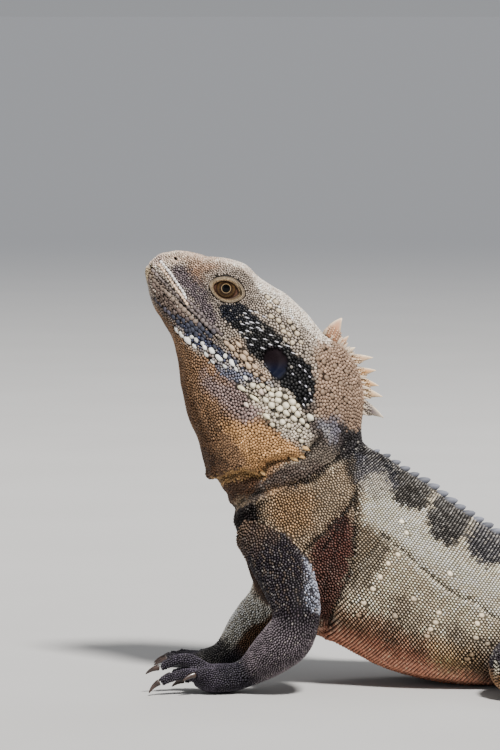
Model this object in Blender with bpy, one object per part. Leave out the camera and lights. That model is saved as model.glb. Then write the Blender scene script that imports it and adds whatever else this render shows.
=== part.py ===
"""An eastern water dragon at life size, lying on the floor with its head raised.

The head faces -X, the left side faces -Y and +Z is up. Sizes are millimetres in the
tables below, and metres in the meshes. Each sub-part is one closed mesh.
"""

import math
import random

import bmesh
import bpy
import numpy as np

MM = 0.001
GAP = 0.3
HALF_GAP = GAP / 2

# The head's frame runs back along the line of the mouth, and up through the crown
SNOUT = np.array((-52.5, 0.0, 145.5))
HEAD_PITCH = math.radians(45)
BACK = np.array((math.cos(HEAD_PITCH), 0.0, -math.sin(HEAD_PITCH)))
DORSAL = np.array((math.sin(HEAD_PITCH), 0.0, math.cos(HEAD_PITCH)))
SIDE = np.array((0.0, 1.0, 0.0))
HEAD_LENGTH = 58.0

# Head outlines: distance back from the snout, then height or half-width
CROWN = ((0, 8), (2, 10.6), (5, 12.9), (8, 15.1), (12, 16.7), (17, 19.2), (22, 21.6), (27, 23.4),
         (31, 24.5), (35, 25.6), (39, 26.9), (44, 27.2), (50, 27.4), (58, 26.5))
BROW_WIDTH = ((0, 2.5), (5, 5), (10, 7.5), (15, 10.5), (20, 13), (25, 14), (30, 13.5), (36, 13),
              (45, 14), (58, 15))
BROW_HEIGHT = ((0, 6.5), (5, 11), (10, 14.3), (14, 18), (17, 20.5), (20, 22.2), (24, 23.4),
               (27, 23), (31, 22.5), (45, 22.5), (58, 21))
CHEEK_WIDTH = ((0, 4), (5, 7), (10, 9.5), (15, 11.5), (20, 13.2), (25, 15), (32, 18), (40, 20.5),
               (48, 22.5), (58, 23.5))
CHEEK_HEIGHT = ((0, 3.5), (10, 5), (20, 6.5), (30, 7), (40, 6), (58, 4))
LIP_WIDTH = ((0, 4.2), (5, 7.2), (10, 9.8), (15, 11.8), (20, 13.5), (25, 15), (32, 17.5),
             (40, 19.8), (48, 22), (58, 23))
JAW_WIDTH = ((0, 3), (5, 5.5), (10, 7.8), (20, 11), (30, 14), (40, 17), (50, 19.5), (58, 20))
JAW_HEIGHT = ((0, -2.2), (5, -4), (10, -5), (20, -7), (30, -9), (40, -12), (50, -15), (58, -17))
THROAT = ((0, -3), (2, -3.9), (6, -6.6), (10, -8.5), (16, -10), (22.5, -11.7), (27, -14.1),
          (32, -17.6), (36, -20.9), (41, -24.2), (47, -28), (54, -30.5), (58, -33))
THROAT_KEEL_WIDTH = ((0, 1.5), (20, 6), (40, 9), (58, 10))
THROAT_KEEL_RISE = 0.22
SNOUT_ROUNDING = ((-1.1, 0.5), (-0.6, 0.78), (0.0, 0.94))
SNOUT_MIDDLE = 3.0
SNOUT_FACE = -1.3
HEAD_RING_STEP = 2.4

# Body stations: top (x, z), bottom (x, z), half-width and the kind of section
BODY_STATIONS = (
    ((15.8, 118.0), (-33.4, 75.5), 24.0, "neck"),
    ((21.5, 108.0), (-31.8, 70.5), 23.0, "neck"),
    ((23.0, 99.0), (-27.0, 68.5), 20.5, "neck"),
    ((21.7, 90.5), (-25.3, 65.0), 19.0, "neck"),
    ((21.7, 84.6), (-23.8, 59.8), 19.5, "trunk"),
    ((29.4, 79.8), (-20.0, 45.8), 22.5, "trunk"),
    ((36.8, 74.6), (-13.3, 28.9), 25.0, "trunk"),
    ((45.9, 68.9), (0.0, 20.1), 26.5, "trunk"),
    ((54.6, 61.9), (14.0, 13.1), 28.5, "trunk"),
    ((70.0, 52.0), (29.8, 5.0), 30.5, "trunk"),
    ((88.0, 43.0), (56.7, -0.8), 29.5, "trunk"),
    ((106.0, 35.5), (86.0, -1.2), 24.0, "trunk"),
    ((124.0, 30.0), (114.0, -1.0), 17.0, "trunk"),
    ((139.0, 26.0), (139.0, -0.3), 12.5, "trunk"),
)
FIRST_TRUNK_STATION = 5
SECTIONS = {
    "neck": ((0, 1), (0.42, 0.80), (0.80, 0.45), (1, 0), (0.92, -0.38), (0.50, -0.78), (0, -1)),
    "trunk": ((0, 1), (0.40, 0.82), (0.82, 0.38), (1, -0.12), (0.95, -0.52), (0.62, -0.86),
              (0, -1)),
}
SAMPLES = (3, 4, 2, 2, 3, 2)
BODY_RING_STEP = 5.6

# Tail: share of its length, half-width, half-height
TAIL_LENGTH = 580.0
TAIL_SWING = math.radians(28)
TAIL_SIZES = ((0, 12.5, 13.15), (0.05, 11, 12), (0.12, 8.8, 10.5), (0.25, 6.4, 8.2),
              (0.45, 4.2, 5.6), (0.65, 2.8, 3.6), (0.85, 1.6, 1.9), (1, 0.6, 0.6))
TAIL_CUTS = (0.0, 0.13, 0.30, 0.50, 0.73, 1.0)
TAIL_SECTION = ((0, 1), (0.5, 0.8), (0.9, 0.35), (1, 0), (0.9, -0.45), (0.5, -0.85), (0, -1))
TAIL_SAMPLES = (2, 1, 1, 1, 2, 1)
TAIL_RINGS = (9, 10, 10, 10, 10)
TAIL_SINK = 0.25

# Eyes, nostrils, ears and mouth, in the head's frame
EYE_BACK = 23.5
EYE_HEIGHT = 14.3
EYE_OUT = 9.5
EYE_RADIUS = 5.9
SOCKET_RADIUS = 6.2
LID_RADIUS = 7.0
LID_OPENING = (4.4, 3.7)
LID_TILT = math.radians(20)
NOSTRIL = (4.0, 8.8)
NOSTRIL_RADIUS = 0.85
NOSTRIL_DEPTH = 2.0
EAR = (51.0, 8.0)
EAR_RADII = (4.2, 2.4, 5.4)
EAR_SINK = 0.4
MOUTH_END = 42.0
MOUTH_TIP = -1.6
MOUTH_HALF_HEIGHT = 0.5
MOUTH_DEPTH = 1.3
MOUTH_STEPS = 11

# Neck spines: root middle (x, z), tip (x, z), length of the root along the neck
NECK_SPINES = (
    ((11.4, 121.6), (14.4, 127.9), 7.0),
    ((14.9, 118.9), (16.9, 121.6), 3.0),
    ((17.0, 116.0), (19.2, 117.6), 3.0),
    ((18.6, 113.4), (25.4, 114.1), 4.4),
    ((20.9, 108.8), (26.5, 109.6), 4.0),
    ((22.4, 105.2), (27.5, 104.2), 4.0),
    ((22.9, 101.6), (28.8, 100.4), 4.0),
    ((22.6, 96.6), (29.2, 93.1), 5.2),
)
SPINE_SINK = 2.2
SPINE_THICKNESS = 1.3
SPINE_WAIST = 0.62
BACK_SPINE_STEP = 4.3
BACK_SPINE_HEIGHT = 2.0
BACK_SPINE_START = 6.0
TAIL_SPINE_STEP = 5.2
TAIL_SPINE_END = 0.46
TAIL_SPINE_HEIGHTS = (1.9, 0.9)
SPINE_LEAN = 0.55
SPINE_MARGINS = (4.2, 3.2)
SEED = 11

# Limbs: corners of the bone line, how far each corner is rounded, and the sizes along it
LIMB_SIDES = 14
ARM_SIZES = ((0, 11.5, 11.5), (0.4, 9.8, 10.0), (0.75, 8.8, 9.0), (1, 8.2, 8.3), (1.3, 8.7, 8.8),
             (1.6, 7.6, 8.0), (1.85, 5.8, 6.4), (2, 5.1, 6.0))
LEG_SIZES = ((0, 12.5, 13.0), (0.4, 11.0, 11.5), (0.75, 9.2, 9.5), (1, 8.0, 8.2), (1.3, 8.4, 8.2),
             (1.6, 6.6, 6.4), (1.85, 5.0, 5.0), (2, 4.7, 5.2))
PALM_SIZES = {"arm_left": ((2.5, 5.3, 8.0), (3, 4.5, 7.4), (3.25, 2.2, 4.6)),
              "arm_right": ((2.5, 4.0, 8.0), (3, 2.8, 7.2), (3.25, 1.6, 4.6)),
              "leg_left": ((2.5, 4.2, 6.8), (3, 3.0, 6.8), (3.25, 1.8, 4.4)),
              "leg_right": ((2.5, 4.2, 6.8), (3, 3.0, 6.8), (3.25, 1.8, 4.4))}
ARM_ROUNDING = (0, 0.4, 0.36, 0)
LEG_ROUNDING = (0, 0.44, 0.35, 0)
LIMB_STATIONS = ((0, 0.15, 0.3, 0.45, 0.6, 0.7, 0.8, 0.9, 1),
                 (1, 1.1, 1.2, 1.3, 1.4, 1.55, 1.7, 1.85, 2))
PALM_STATIONS = (2, 2.15, 2.35, 2.6, 2.85, 3, 3.15, 3.25)
LIMBS = {
    "arm_left": ((-12, -8, 54), (1.8, -43.1, 25.6), (-19.3, -30, 5.4), (-33.5, -31, 5.0)),
    "arm_right": ((-2, 8, 52), (-9.5, 39.5, 23.0), (-26.6, 36.5, 4.6), (-36.0, 44.0, 2.5)),
    "leg_left": ((118, -6, 20), (60.5, -44.3, 10.6), (108, -69, 5.2), (103.5, -91.5, 2.7)),
    "leg_right": ((122, 6, 20), (70, 46.3, 10.6), (116, 68, 5.2), (111.5, 90.5, 2.7)),
}

# Digits I to V: turn from the heading, place across the palm, length, height of the
# knuckle, height of the claw's tip, and how steep the claw is at its root and tip
DIGITS = {
    "arm_left": ((-30, -6.0, 7, 5.5, 0.3, 10, 50), (-12, -3.6, 11, 7.5, 2.6, 10, 50),
                 (0, -0.6, 15.0, 12.0, 6.2, 5, 50), (9, 3.2, 15.5, 7.2, 0.3, 22, 72),
                 (20, 6.2, 3.2, 7.9, 4.9, 5, 42)),
    "arm_right": ((-36, -6.2, 7, 2.8, 0.3, 6, 46), (-16, -3.4, 10, 2.9, 0.3, 6, 46),
                  (0, 0, 13, 3.0, 0.3, 6, 46), (12, 3.4, 14, 2.9, 0.3, 6, 46),
                  (36, 6.0, 10, 2.8, 0.3, 6, 46)),
    "leg": ((-30, -5.2, 10, 2.9, 0.3, 8, 52), (-12, -2.8, 17, 3.1, 0.3, 8, 52),
            (0, 0, 26, 3.4, 0.3, 8, 52), (12, 2.8, 34, 3.6, 0.3, 8, 52),
            (42, 4.8, 21, 3.1, 0.3, 8, 52)),
}
FINGER_RADIUS = 2.6
TOE_RADIUS = 2.7
FINGER_CLAW = 6.4
TOE_CLAW = 6.8
DIGIT_STATIONS = (0, 0.16, 0.32, 0.46, 0.58, 0.7, 0.85, 1)
KNUCKLE_PLACES = (0.33, 0.62, 0.84)
DIGIT_SIDES = 8
DIGIT_ROOT = 5.0
CLAW_STEPS = 4
CLAW_SIDES = 6
CLAW_ROOT = 0.52
FLOOR_BOX = 900.0
FLOOR_DEPTH = 30.0

# Colours of the sub-parts, as red, green, blue, then roughness
FINISHES = {
    "head": ((0.42, 0.33, 0.24), 0.7),
    "eye": ((0.30, 0.17, 0.05), 0.1),
    "neck": ((0.40, 0.31, 0.22), 0.7),
    "torso": ((0.34, 0.28, 0.20), 0.7),
    "tail": ((0.20, 0.18, 0.15), 0.7),
    "upper_arm": ((0.10, 0.09, 0.09), 0.7),
    "forearm": ((0.10, 0.09, 0.09), 0.7),
    "hand": ((0.05, 0.05, 0.06), 0.65),
    "thigh": ((0.22, 0.18, 0.13), 0.7),
    "shin": ((0.16, 0.14, 0.11), 0.7),
    "foot": ((0.07, 0.06, 0.06), 0.65),
    "claw": ((0.06, 0.04, 0.03), 0.35),
}


def unit(vector):
    """The vector at length one."""
    vector = np.asarray(vector, float)
    return vector / np.linalg.norm(vector)


def through(knots, at):
    """The smooth curve through knots of (place, value, ...), read at one place."""
    table = np.asarray(knots, float)
    places = table[:, 0]
    values = table[:, 1:]
    slopes = np.gradient(values, places, axis=0)
    left = min(max(int(np.searchsorted(places, at)) - 1, 0), len(places) - 2)
    span = places[left + 1] - places[left]
    t = min(max((at - places[left]) / span, 0.0), 1.0)
    start = (1 + 2 * t) * (1 - t) ** 2 * values[left] + t * (1 - t) ** 2 * span * slopes[left]
    end = t * t * (3 - 2 * t) * values[left + 1] + t * t * (t - 1) * span * slopes[left + 1]
    found = start + end
    return float(found[0]) if len(found) == 1 else found


def closed_section(half_keys, samples):
    """A smooth closed outline from the keys of one half, top to bottom, and its mirror."""
    keys = [np.array(k, float) for k in half_keys]
    keys += [np.array((-k[0], k[1])) for k in keys[-2:0:-1]]
    counts = list(samples) + list(samples)[::-1]
    outline = []
    for i, count in enumerate(counts):
        before, here, after, beyond = (keys[(i + n) % len(keys)] for n in (-1, 0, 1, 2))
        for n in range(count):
            t = n / count
            outline.append(
                0.5 * (2 * here + (after - before) * t
                       + (2 * before - 5 * here + 4 * after - beyond) * t ** 2
                       + (3 * here - before - 3 * after + beyond) * t ** 3))
    return np.array(outline)


def placed(outline, middle, side, up):
    """The outline's points in space."""
    return np.asarray(middle) + outline[:, :1] * np.asarray(side) + outline[:, 1:] * np.asarray(up)


def head_point(back, height, out=0.0):
    """A point of the head's frame in space."""
    return SNOUT + back * BACK + height * DORSAL + out * SIDE


def head_ring(back, scale=1.0):
    """The head's section at a distance behind the snout."""
    at = max(back, 0.0)
    jaw_height = through(JAW_HEIGHT, at)
    throat = through(THROAT, at)
    keel_height = throat + THROAT_KEEL_RISE * (jaw_height - throat)
    keys = (
        (0, through(CROWN, at)),
        (through(BROW_WIDTH, at), through(BROW_HEIGHT, at)),
        (through(CHEEK_WIDTH, at), through(CHEEK_HEIGHT, at)),
        (through(LIP_WIDTH, at), 0),
        (through(JAW_WIDTH, at), jaw_height),
        (through(THROAT_KEEL_WIDTH, at), keel_height),
        (0, throat),
    )
    outline = closed_section(keys, SAMPLES)
    outline[:, 0] *= scale
    outline[:, 1] = SNOUT_MIDDLE + (outline[:, 1] - SNOUT_MIDDLE) * scale
    return placed(outline, head_point(back, 0), SIDE, DORSAL)


def body_ring(station):
    """The section between a station's top and bottom."""
    (top_x, top_z), (low_x, low_z), half_width, kind = station
    top = np.array((top_x, 0, top_z))
    low = np.array((low_x, 0, low_z))
    half_height = np.linalg.norm(top - low) / 2
    outline = closed_section(np.array(SECTIONS[kind]) * (half_width, half_height), SAMPLES)
    return placed(outline, (top + low) / 2, SIDE, unit(top - low))


def on_floor(rings):
    """The same rings with nothing below the floor."""
    rings = np.array(rings)
    rings[:, :, 2] = np.maximum(rings[:, :, 2], 0.0)
    return rings


def between(knot_rings, step):
    """Smooth rings through the knot rings, with each knot kept, and the index of each knot."""
    middles = [ring.mean(axis=0) for ring in knot_rings]
    places = np.cumsum([0] + [np.linalg.norm(b - a) for a, b in zip(middles, middles[1:])])
    flat = np.array([ring.ravel() for ring in knot_rings])
    table = np.column_stack((places, flat))
    rings = []
    kept = []
    for a, b in zip(places, places[1:]):
        kept.append(len(rings))
        count = max(1, round((b - a) / step))
        rings += [through(table, a + (b - a) * n / count).reshape(-1, 3) for n in range(count)]
    kept.append(len(rings))
    rings.append(knot_rings[-1])
    return rings, kept


def ring_normal(ring, towards):
    """The normal of a flat ring, on the side of another point."""
    middle = ring.mean(axis=0)
    quarter = len(ring) // 4
    normal = unit(np.cross(ring[0] - middle, ring[quarter] - middle))
    return normal if np.dot(normal, np.asarray(towards) - middle) > 0 else -normal


def parted(rings, open_start, open_end):
    """The rings of one node, drawn back by half a gap at each end that meets another."""
    rings = [np.array(r) for r in rings]
    if open_start:
        rings[0] = rings[0] + HALF_GAP * ring_normal(rings[0], rings[1].mean(axis=0))
    if open_end:
        rings[-1] = rings[-1] + HALF_GAP * ring_normal(rings[-1], rings[-2].mean(axis=0))
    return rings


def finish_of(name):
    """The material of a sub-part, made once for each kind."""
    kind = max((k for k in FINISHES if name.startswith(k)), key=len)
    material = bpy.data.materials.get(kind)
    if material is None:
        colour, roughness = FINISHES[kind]
        material = bpy.data.materials.new(kind)
        material.use_nodes = True
        shader = material.node_tree.nodes["Principled BSDF"]
        shader.inputs["Base Color"].default_value = (*colour, 1)
        shader.inputs["Roughness"].default_value = roughness
        shader.inputs["Metallic"].default_value = 0.0
        material.diffuse_color = (*colour, 1)
    return material


def mesh_object(name, points, faces, finished=True):
    """A closed object of triangles facing out, from points in millimetres."""
    mesh = bpy.data.meshes.new(name)
    mesh.from_pydata([tuple(float(c) * MM for c in p) for p in points], [], faces)
    shape = bmesh.new()
    shape.from_mesh(mesh)
    bmesh.ops.recalc_face_normals(shape, faces=shape.faces)
    bmesh.ops.triangulate(shape, faces=shape.faces)
    shape.to_mesh(mesh)
    shape.free()
    thing = bpy.data.objects.new(name, mesh)
    bpy.context.scene.collection.objects.link(thing)
    if finished:
        mesh.materials.append(finish_of(name))
    else:
        thing.hide_render = True
        thing.display_type = "WIRE"
    return thing


def loft(name, rings, finished=True, tip=None, start=None):
    """A closed surface through rings of equal count, each end closed by a fan."""
    rings = [np.asarray(r) for r in rings]
    count = len(rings[0])
    points = [p for ring in rings for p in ring]
    faces = []
    for i in range(len(rings) - 1):
        for j in range(count):
            k = (j + 1) % count
            faces.append((i * count + j, i * count + k, (i + 1) * count + k, (i + 1) * count + j))
    ends = ((0, rings[0].mean(axis=0) if start is None else start),
            (len(rings) - 1, rings[-1].mean(axis=0) if tip is None else tip))
    for row, middle in ends:
        points.append(middle)
        for j in range(count):
            faces.append((row * count + j, row * count + (j + 1) % count, len(points) - 1))
    return mesh_object(name, points, faces, finished)


def ball(name, middle, radii, segments, rows, axes=None, finished=False):
    """A sphere or ellipsoid, its poles along the last axis."""
    axes = np.eye(3) if axes is None else np.array(axes)
    rings = []
    for row in range(1, rows):
        polar = math.pi * row / rows
        turns = [2 * math.pi * n / segments for n in range(segments)]
        local = [(math.sin(polar) * math.cos(a) * radii[0], math.sin(polar) * math.sin(a) * radii[1],
                  math.cos(polar) * radii[2]) for a in turns]
        rings.append(np.asarray(middle) + np.array(local) @ axes)
    top = np.asarray(middle) + radii[2] * axes[2]
    low = np.asarray(middle) - radii[2] * axes[2]
    return loft(name, rings, finished, tip=low, start=top)


def largest_body(shape):
    """Removes all but the largest closed surface of a bmesh."""
    left = set(shape.faces)
    bodies = []
    while left:
        queue = [left.pop()]
        body = set(queue)
        while queue:
            for edge in queue.pop().edges:
                for face in edge.link_faces:
                    if face in left:
                        left.remove(face)
                        body.add(face)
                        queue.append(face)
        bodies.append(body)
    keep = max(bodies, key=lambda body: sum(f.calc_area() for f in body))
    loose = [f for body in bodies if body is not keep for f in body]
    bmesh.ops.delete(shape, geom=loose, context="FACES")
    bmesh.ops.delete(shape, geom=[v for v in shape.verts if not v.link_faces], context="VERTS")


def combine(target, tools, operation):
    """Applies one Boolean of all the tools to the target, and removes the tools."""
    group = bpy.data.collections.new("tools")
    bpy.context.scene.collection.children.link(group)
    for tool in tools:
        bpy.context.scene.collection.objects.unlink(tool)
        group.objects.link(tool)
    modifier = target.modifiers.new("combine", "BOOLEAN")
    modifier.operation = operation
    modifier.operand_type = "COLLECTION"
    modifier.collection = group
    modifier.solver = "EXACT"
    bpy.context.view_layer.update()
    depsgraph = bpy.context.evaluated_depsgraph_get()
    made = bpy.data.meshes.new_from_object(target.evaluated_get(depsgraph))
    target.modifiers.clear()
    shape = bmesh.new()
    shape.from_mesh(made)
    bmesh.ops.triangulate(shape, faces=shape.faces)
    largest_body(shape)
    shape.to_mesh(made)
    shape.free()
    made.name = target.name
    finish = target.data.materials[0]
    target.data = made
    made.materials.clear()
    made.materials.append(finish)
    for tool in tools:
        bpy.data.objects.remove(tool)
    bpy.data.collections.remove(group)


def floor_cutter():
    """A box whose top is the floor."""
    half = FLOOR_BOX / 2
    corners = [(x, y, z) for z in (-FLOOR_DEPTH, 0) for x, y in
               ((-half, -half), (half, -half), (half, half), (-half, half))]
    faces = [(0, 1, 2, 3), (4, 5, 6, 7)]
    faces += [(n, (n + 1) % 4, 4 + (n + 1) % 4, 4 + n) for n in range(4)]
    return mesh_object("floor_cut", corners, faces, finished=False)


def spine(root, tip, along, length, across=SIDE, thickness=SPINE_THICKNESS, bow=0.0):
    """A flat tapered spine, its root sunk below the skin and its tip bowed back."""
    root = np.asarray(root, float)
    tip = np.asarray(tip, float)
    along = unit(along)
    inward = unit(root - tip)
    low = root + SPINE_SINK * inward
    middle = (root + tip) / 2 + bow * along
    points = []
    for place, share in ((low, 1.0), (middle, SPINE_WAIST)):
        for a, b in ((-1, -1), (1, -1), (1, 1), (-1, 1)):
            points.append(place + a * share * length / 2 * along + b * share * thickness / 2 * across)
    points.append(tip)
    faces = [(0, 1, 2, 3)]
    faces += [(n, (n + 1) % 4, 4 + (n + 1) % 4, 4 + n) for n in range(4)]
    faces += [(4 + n, 4 + (n + 1) % 4, 8) for n in range(4)]
    return mesh_object("spine", points, faces, finished=False)


def ridge_line(rings):
    """The top points of the rings, with the distance along them."""
    tops = np.array([ring[0] for ring in rings])
    steps = np.linalg.norm(np.diff(tops, axis=0), axis=1)
    return np.column_stack((np.concatenate(([0], np.cumsum(steps))), tops))


def row_of_spines(ridge, first, last, step, heights, draw):
    """Low crest lobes along a ridge, leaning back, varied as real ones are."""
    spines = []
    at = first
    while at < last:
        share = (at - first) / max(last - first, 1)
        height = (heights[0] * (1 - share) + heights[1] * share) * draw.uniform(0.82, 1.15)
        root = through(ridge, at)
        along = unit(through(ridge, min(at + 1, ridge[-1, 0])) - through(ridge, max(at - 1, 0)))
        across = unit(np.cross((0, 0, 1), along))
        outward = unit(np.cross(along, across))
        tip = root + height * unit(outward + SPINE_LEAN * along)
        spines.append(spine(root, tip, along, step * 0.8, across, SPINE_THICKNESS))
        at += step * draw.uniform(0.93, 1.07)
    return spines


def make_head(rings):
    """The head with its lids, sockets, nostrils, ears and line of the mouth."""
    head = loft("head", parted(rings, False, True), start=head_point(SNOUT_FACE, SNOUT_MIDDLE))
    lids = []
    cuts = []
    for sign in (-1, 1):
        eye = head_point(EYE_BACK, EYE_HEIGHT, sign * EYE_OUT)
        axes = (BACK, DORSAL, sign * SIDE)
        lids.append(ball("lid", eye, (LID_RADIUS,) * 3, 18, 10, axes))
        cuts.append(ball("socket", eye, (SOCKET_RADIUS,) * 3, 14, 8, axes))
        cuts.append(lid_opening(eye, sign))
        cuts.append(nostril(sign))
        ear_out = through(CHEEK_WIDTH, EAR[0]) - EAR_SINK
        ear = head_point(*EAR, sign * ear_out)
        cuts.append(ball("ear", ear, EAR_RADII, 12, 8, (BACK, SIDE, DORSAL)))
    combine(head, lids, "UNION")
    combine(head, cuts + [mouth_groove()], "DIFFERENCE")
    return head


def lid_opening(eye, sign):
    """The oval between the lids, cut out past the socket."""
    long_axis = math.cos(LID_TILT) * BACK + math.sin(LID_TILT) * DORSAL
    short_axis = math.cos(LID_TILT) * DORSAL - math.sin(LID_TILT) * BACK
    turns = [2 * math.pi * n / 16 for n in range(16)]
    rim = np.array([eye + LID_OPENING[0] * math.cos(a) * long_axis
                    + LID_OPENING[1] * math.sin(a) * short_axis for a in turns])
    outward = sign * SIDE
    return loft("opening", [rim + 3.0 * outward, rim + 12.0 * outward], finished=False)


def nostril(sign):
    """A short tapered hole into the side of the snout."""
    out = through(BROW_WIDTH, NOSTRIL[0])
    mouth_of_hole = head_point(*NOSTRIL, sign * (out + 1.2))
    direction = unit(-sign * SIDE * 0.9 + BACK * 0.35)
    turns = [2 * math.pi * n / 8 for n in range(8)]
    circle = np.array([math.cos(a) * BACK + math.sin(a) * DORSAL for a in turns])
    depth = NOSTRIL_DEPTH + 1.2
    rings = [mouth_of_hole + NOSTRIL_RADIUS * 1.3 * circle,
             mouth_of_hole + depth * direction + NOSTRIL_RADIUS * 0.5 * circle]
    return loft("nostril", rings, finished=False)


def mouth_groove():
    """A wedge that follows the lips round the snout from one corner of the mouth to the other."""
    path = []
    for n in range(MOUTH_STEPS):
        share = n / (MOUTH_STEPS - 1)
        back = MOUTH_END * (1 - share) ** 1.6
        path.append((back, through(LIP_WIDTH, back) if back > 0.01 else 3.6))
    half = path[:-1] + [(-0.9, 2.6), (MOUTH_TIP, 0.9)]
    points = [(b, -o) for b, o in half] + [(b, o) for b, o in half[::-1]]
    rings = []
    for n, (back, out) in enumerate(points):
        before = np.array(points[max(n - 1, 0)])
        after = np.array(points[min(n + 1, len(points) - 1)])
        run = unit(after - before)
        outward = np.array((-run[1], run[0]))
        outer = np.array((back, out)) + outward * 1.0
        inner = np.array((back, out)) - outward * MOUTH_DEPTH
        reach = MOUTH_HALF_HEIGHT
        rings.append(np.array([head_point(outer[0], reach * 1.6, outer[1]),
                               head_point(inner[0], 0.0, inner[1]),
                               head_point(outer[0], -reach * 1.6, outer[1])]))
    return loft("mouth", rings, finished=False)


def tail_rings(start_top, start_low):
    """All sections of the tail with the index of each cut."""
    middle = (start_top + start_low) / 2
    rings = []
    cuts = [0]
    place = middle.copy()
    done = 0.0
    for n, count in enumerate(TAIL_RINGS):
        first, last = TAIL_CUTS[n], TAIL_CUTS[n + 1]
        for k in range(count + 1):
            if n and k == 0:
                continue
            share = first + (last - first) * k / count
            while done < share - 1e-9:
                move = min(0.002, share - done)
                angle = TAIL_SWING * math.sin(2 * math.pi * (done + move / 2))
                place = place + TAIL_LENGTH * move * np.array((math.cos(angle), math.sin(angle), 0))
                done += move
            angle = TAIL_SWING * math.sin(2 * math.pi * share)
            half_width, half_height = through(TAIL_SIZES, share)
            side = np.array((-math.sin(angle), math.cos(angle), 0))
            outline = closed_section(np.array(TAIL_SECTION) * (half_width, half_height),
                                     TAIL_SAMPLES)
            centre = np.array((place[0], place[1], half_height - TAIL_SINK))
            rings.append(placed(outline, centre, side, (0, 0, 1)))
        cuts.append(len(rings) - 1)
    return rings, cuts


def bone_line(corners, rounding):
    """A function that gives the place at each corner number and between them."""
    corners = [np.array(c, float) for c in corners]

    def at(p):
        near = int(round(p))
        if 0 < near < len(corners) - 1 and abs(p - near) < rounding[near]:
            reach = rounding[near]
            start = corners[near] + reach * (corners[near - 1] - corners[near])
            end = corners[near] + reach * (corners[near + 1] - corners[near])
            t = (p - near + reach) / (2 * reach)
            return (1 - t) ** 2 * start + 2 * t * (1 - t) * corners[near] + t * t * end
        left = min(max(int(p), 0), len(corners) - 2)
        return corners[left] + (p - left) * (corners[left + 1] - corners[left])

    return at


def limb_rings(corners, rounding, sizes, stations):
    """Oval sections along a limb, their width level with the floor."""
    at = bone_line(corners, rounding)
    circle = circle_of(LIMB_SIDES)
    rings = []
    for p in stations:
        along = unit(at(p + 0.01) - at(p - 0.01))
        side = unit(np.cross((0, 0, 1), along))
        up = np.cross(along, side)
        depth, width = through(sizes, p)
        rings.append(placed(circle * (width, depth), at(p), side, up))
    return rings


def digit_heights(start_height, knuckle, joint):
    """The height of a digit's middle along it: up to the knuckle, then down to the claw."""
    rise, top, fall = KNUCKLE_PLACES
    return ((0, start_height), (rise, start_height + 0.7 * (knuckle - start_height)),
            (top, knuckle), (fall, joint + 0.5 * (knuckle - joint)), (1, joint))


def circle_of(count, turned=0.0):
    """The corners of a regular outline of radius one."""
    turns = [2 * math.pi * (n + turned) / count for n in range(count)]
    return np.array([(math.cos(a), math.sin(a)) for a in turns])


def digit(start, heading, row, radius, claw_length):
    """The rings of a digit and of its claw, and the claw's tip, in one upright plane."""
    length, knuckle, tip_height, root_angle, tip_angle = row
    root_angle = math.radians(root_angle)
    tip_angle = math.radians(tip_angle)
    ahead = np.array((*heading, 0.0))
    down = np.array((0.0, 0.0, -1.0))
    side = np.array((-heading[1], heading[0], 0.0))
    step = claw_length / CLAW_STEPS
    bends = [root_angle + (tip_angle - root_angle) * (n + 0.5) / CLAW_STEPS
             for n in range(CLAW_STEPS)]
    joint = tip_height + step * sum(math.sin(b) for b in bends)
    whole = length + DIGIT_ROOT
    heights = digit_heights(start[2], knuckle, joint)
    circle = circle_of(DIGIT_SIDES, 0.5)
    rings = []
    for t in DIGIT_STATIONS:
        low, high = max(t - 0.02, 0), min(t + 0.02, 1)
        slope = (through(heights, high) - through(heights, low)) / ((high - low) * whole)
        along = unit(ahead - slope * down)
        if t == 1:
            along = math.cos(root_angle) * ahead + math.sin(root_angle) * down
        middle = np.array((start[0], start[1], 0.0)) + whole * t * ahead
        middle[2] = through(heights, t)
        size = radius * (1.12 - 0.42 * t) * (1 + 0.06 * math.cos(4 * math.pi * t))
        rings.append(placed(circle * size, middle, side, np.cross(along, side)))
    claw = []
    middle = rings[-1].mean(axis=0)
    circle = circle_of(CLAW_SIDES)
    for n in range(CLAW_STEPS):
        angle = root_angle + (tip_angle - root_angle) * n / CLAW_STEPS
        along = math.cos(angle) * ahead + math.sin(angle) * down
        size = radius * CLAW_ROOT * (1 - n / CLAW_STEPS) ** 0.8
        claw.append(placed(circle * (size * 0.8, size * 1.05), middle, side,
                           np.cross(along, side)))
        middle = middle + step * (math.cos(bends[n]) * ahead + math.sin(bends[n]) * down)
    return rings, claw, middle


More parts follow.
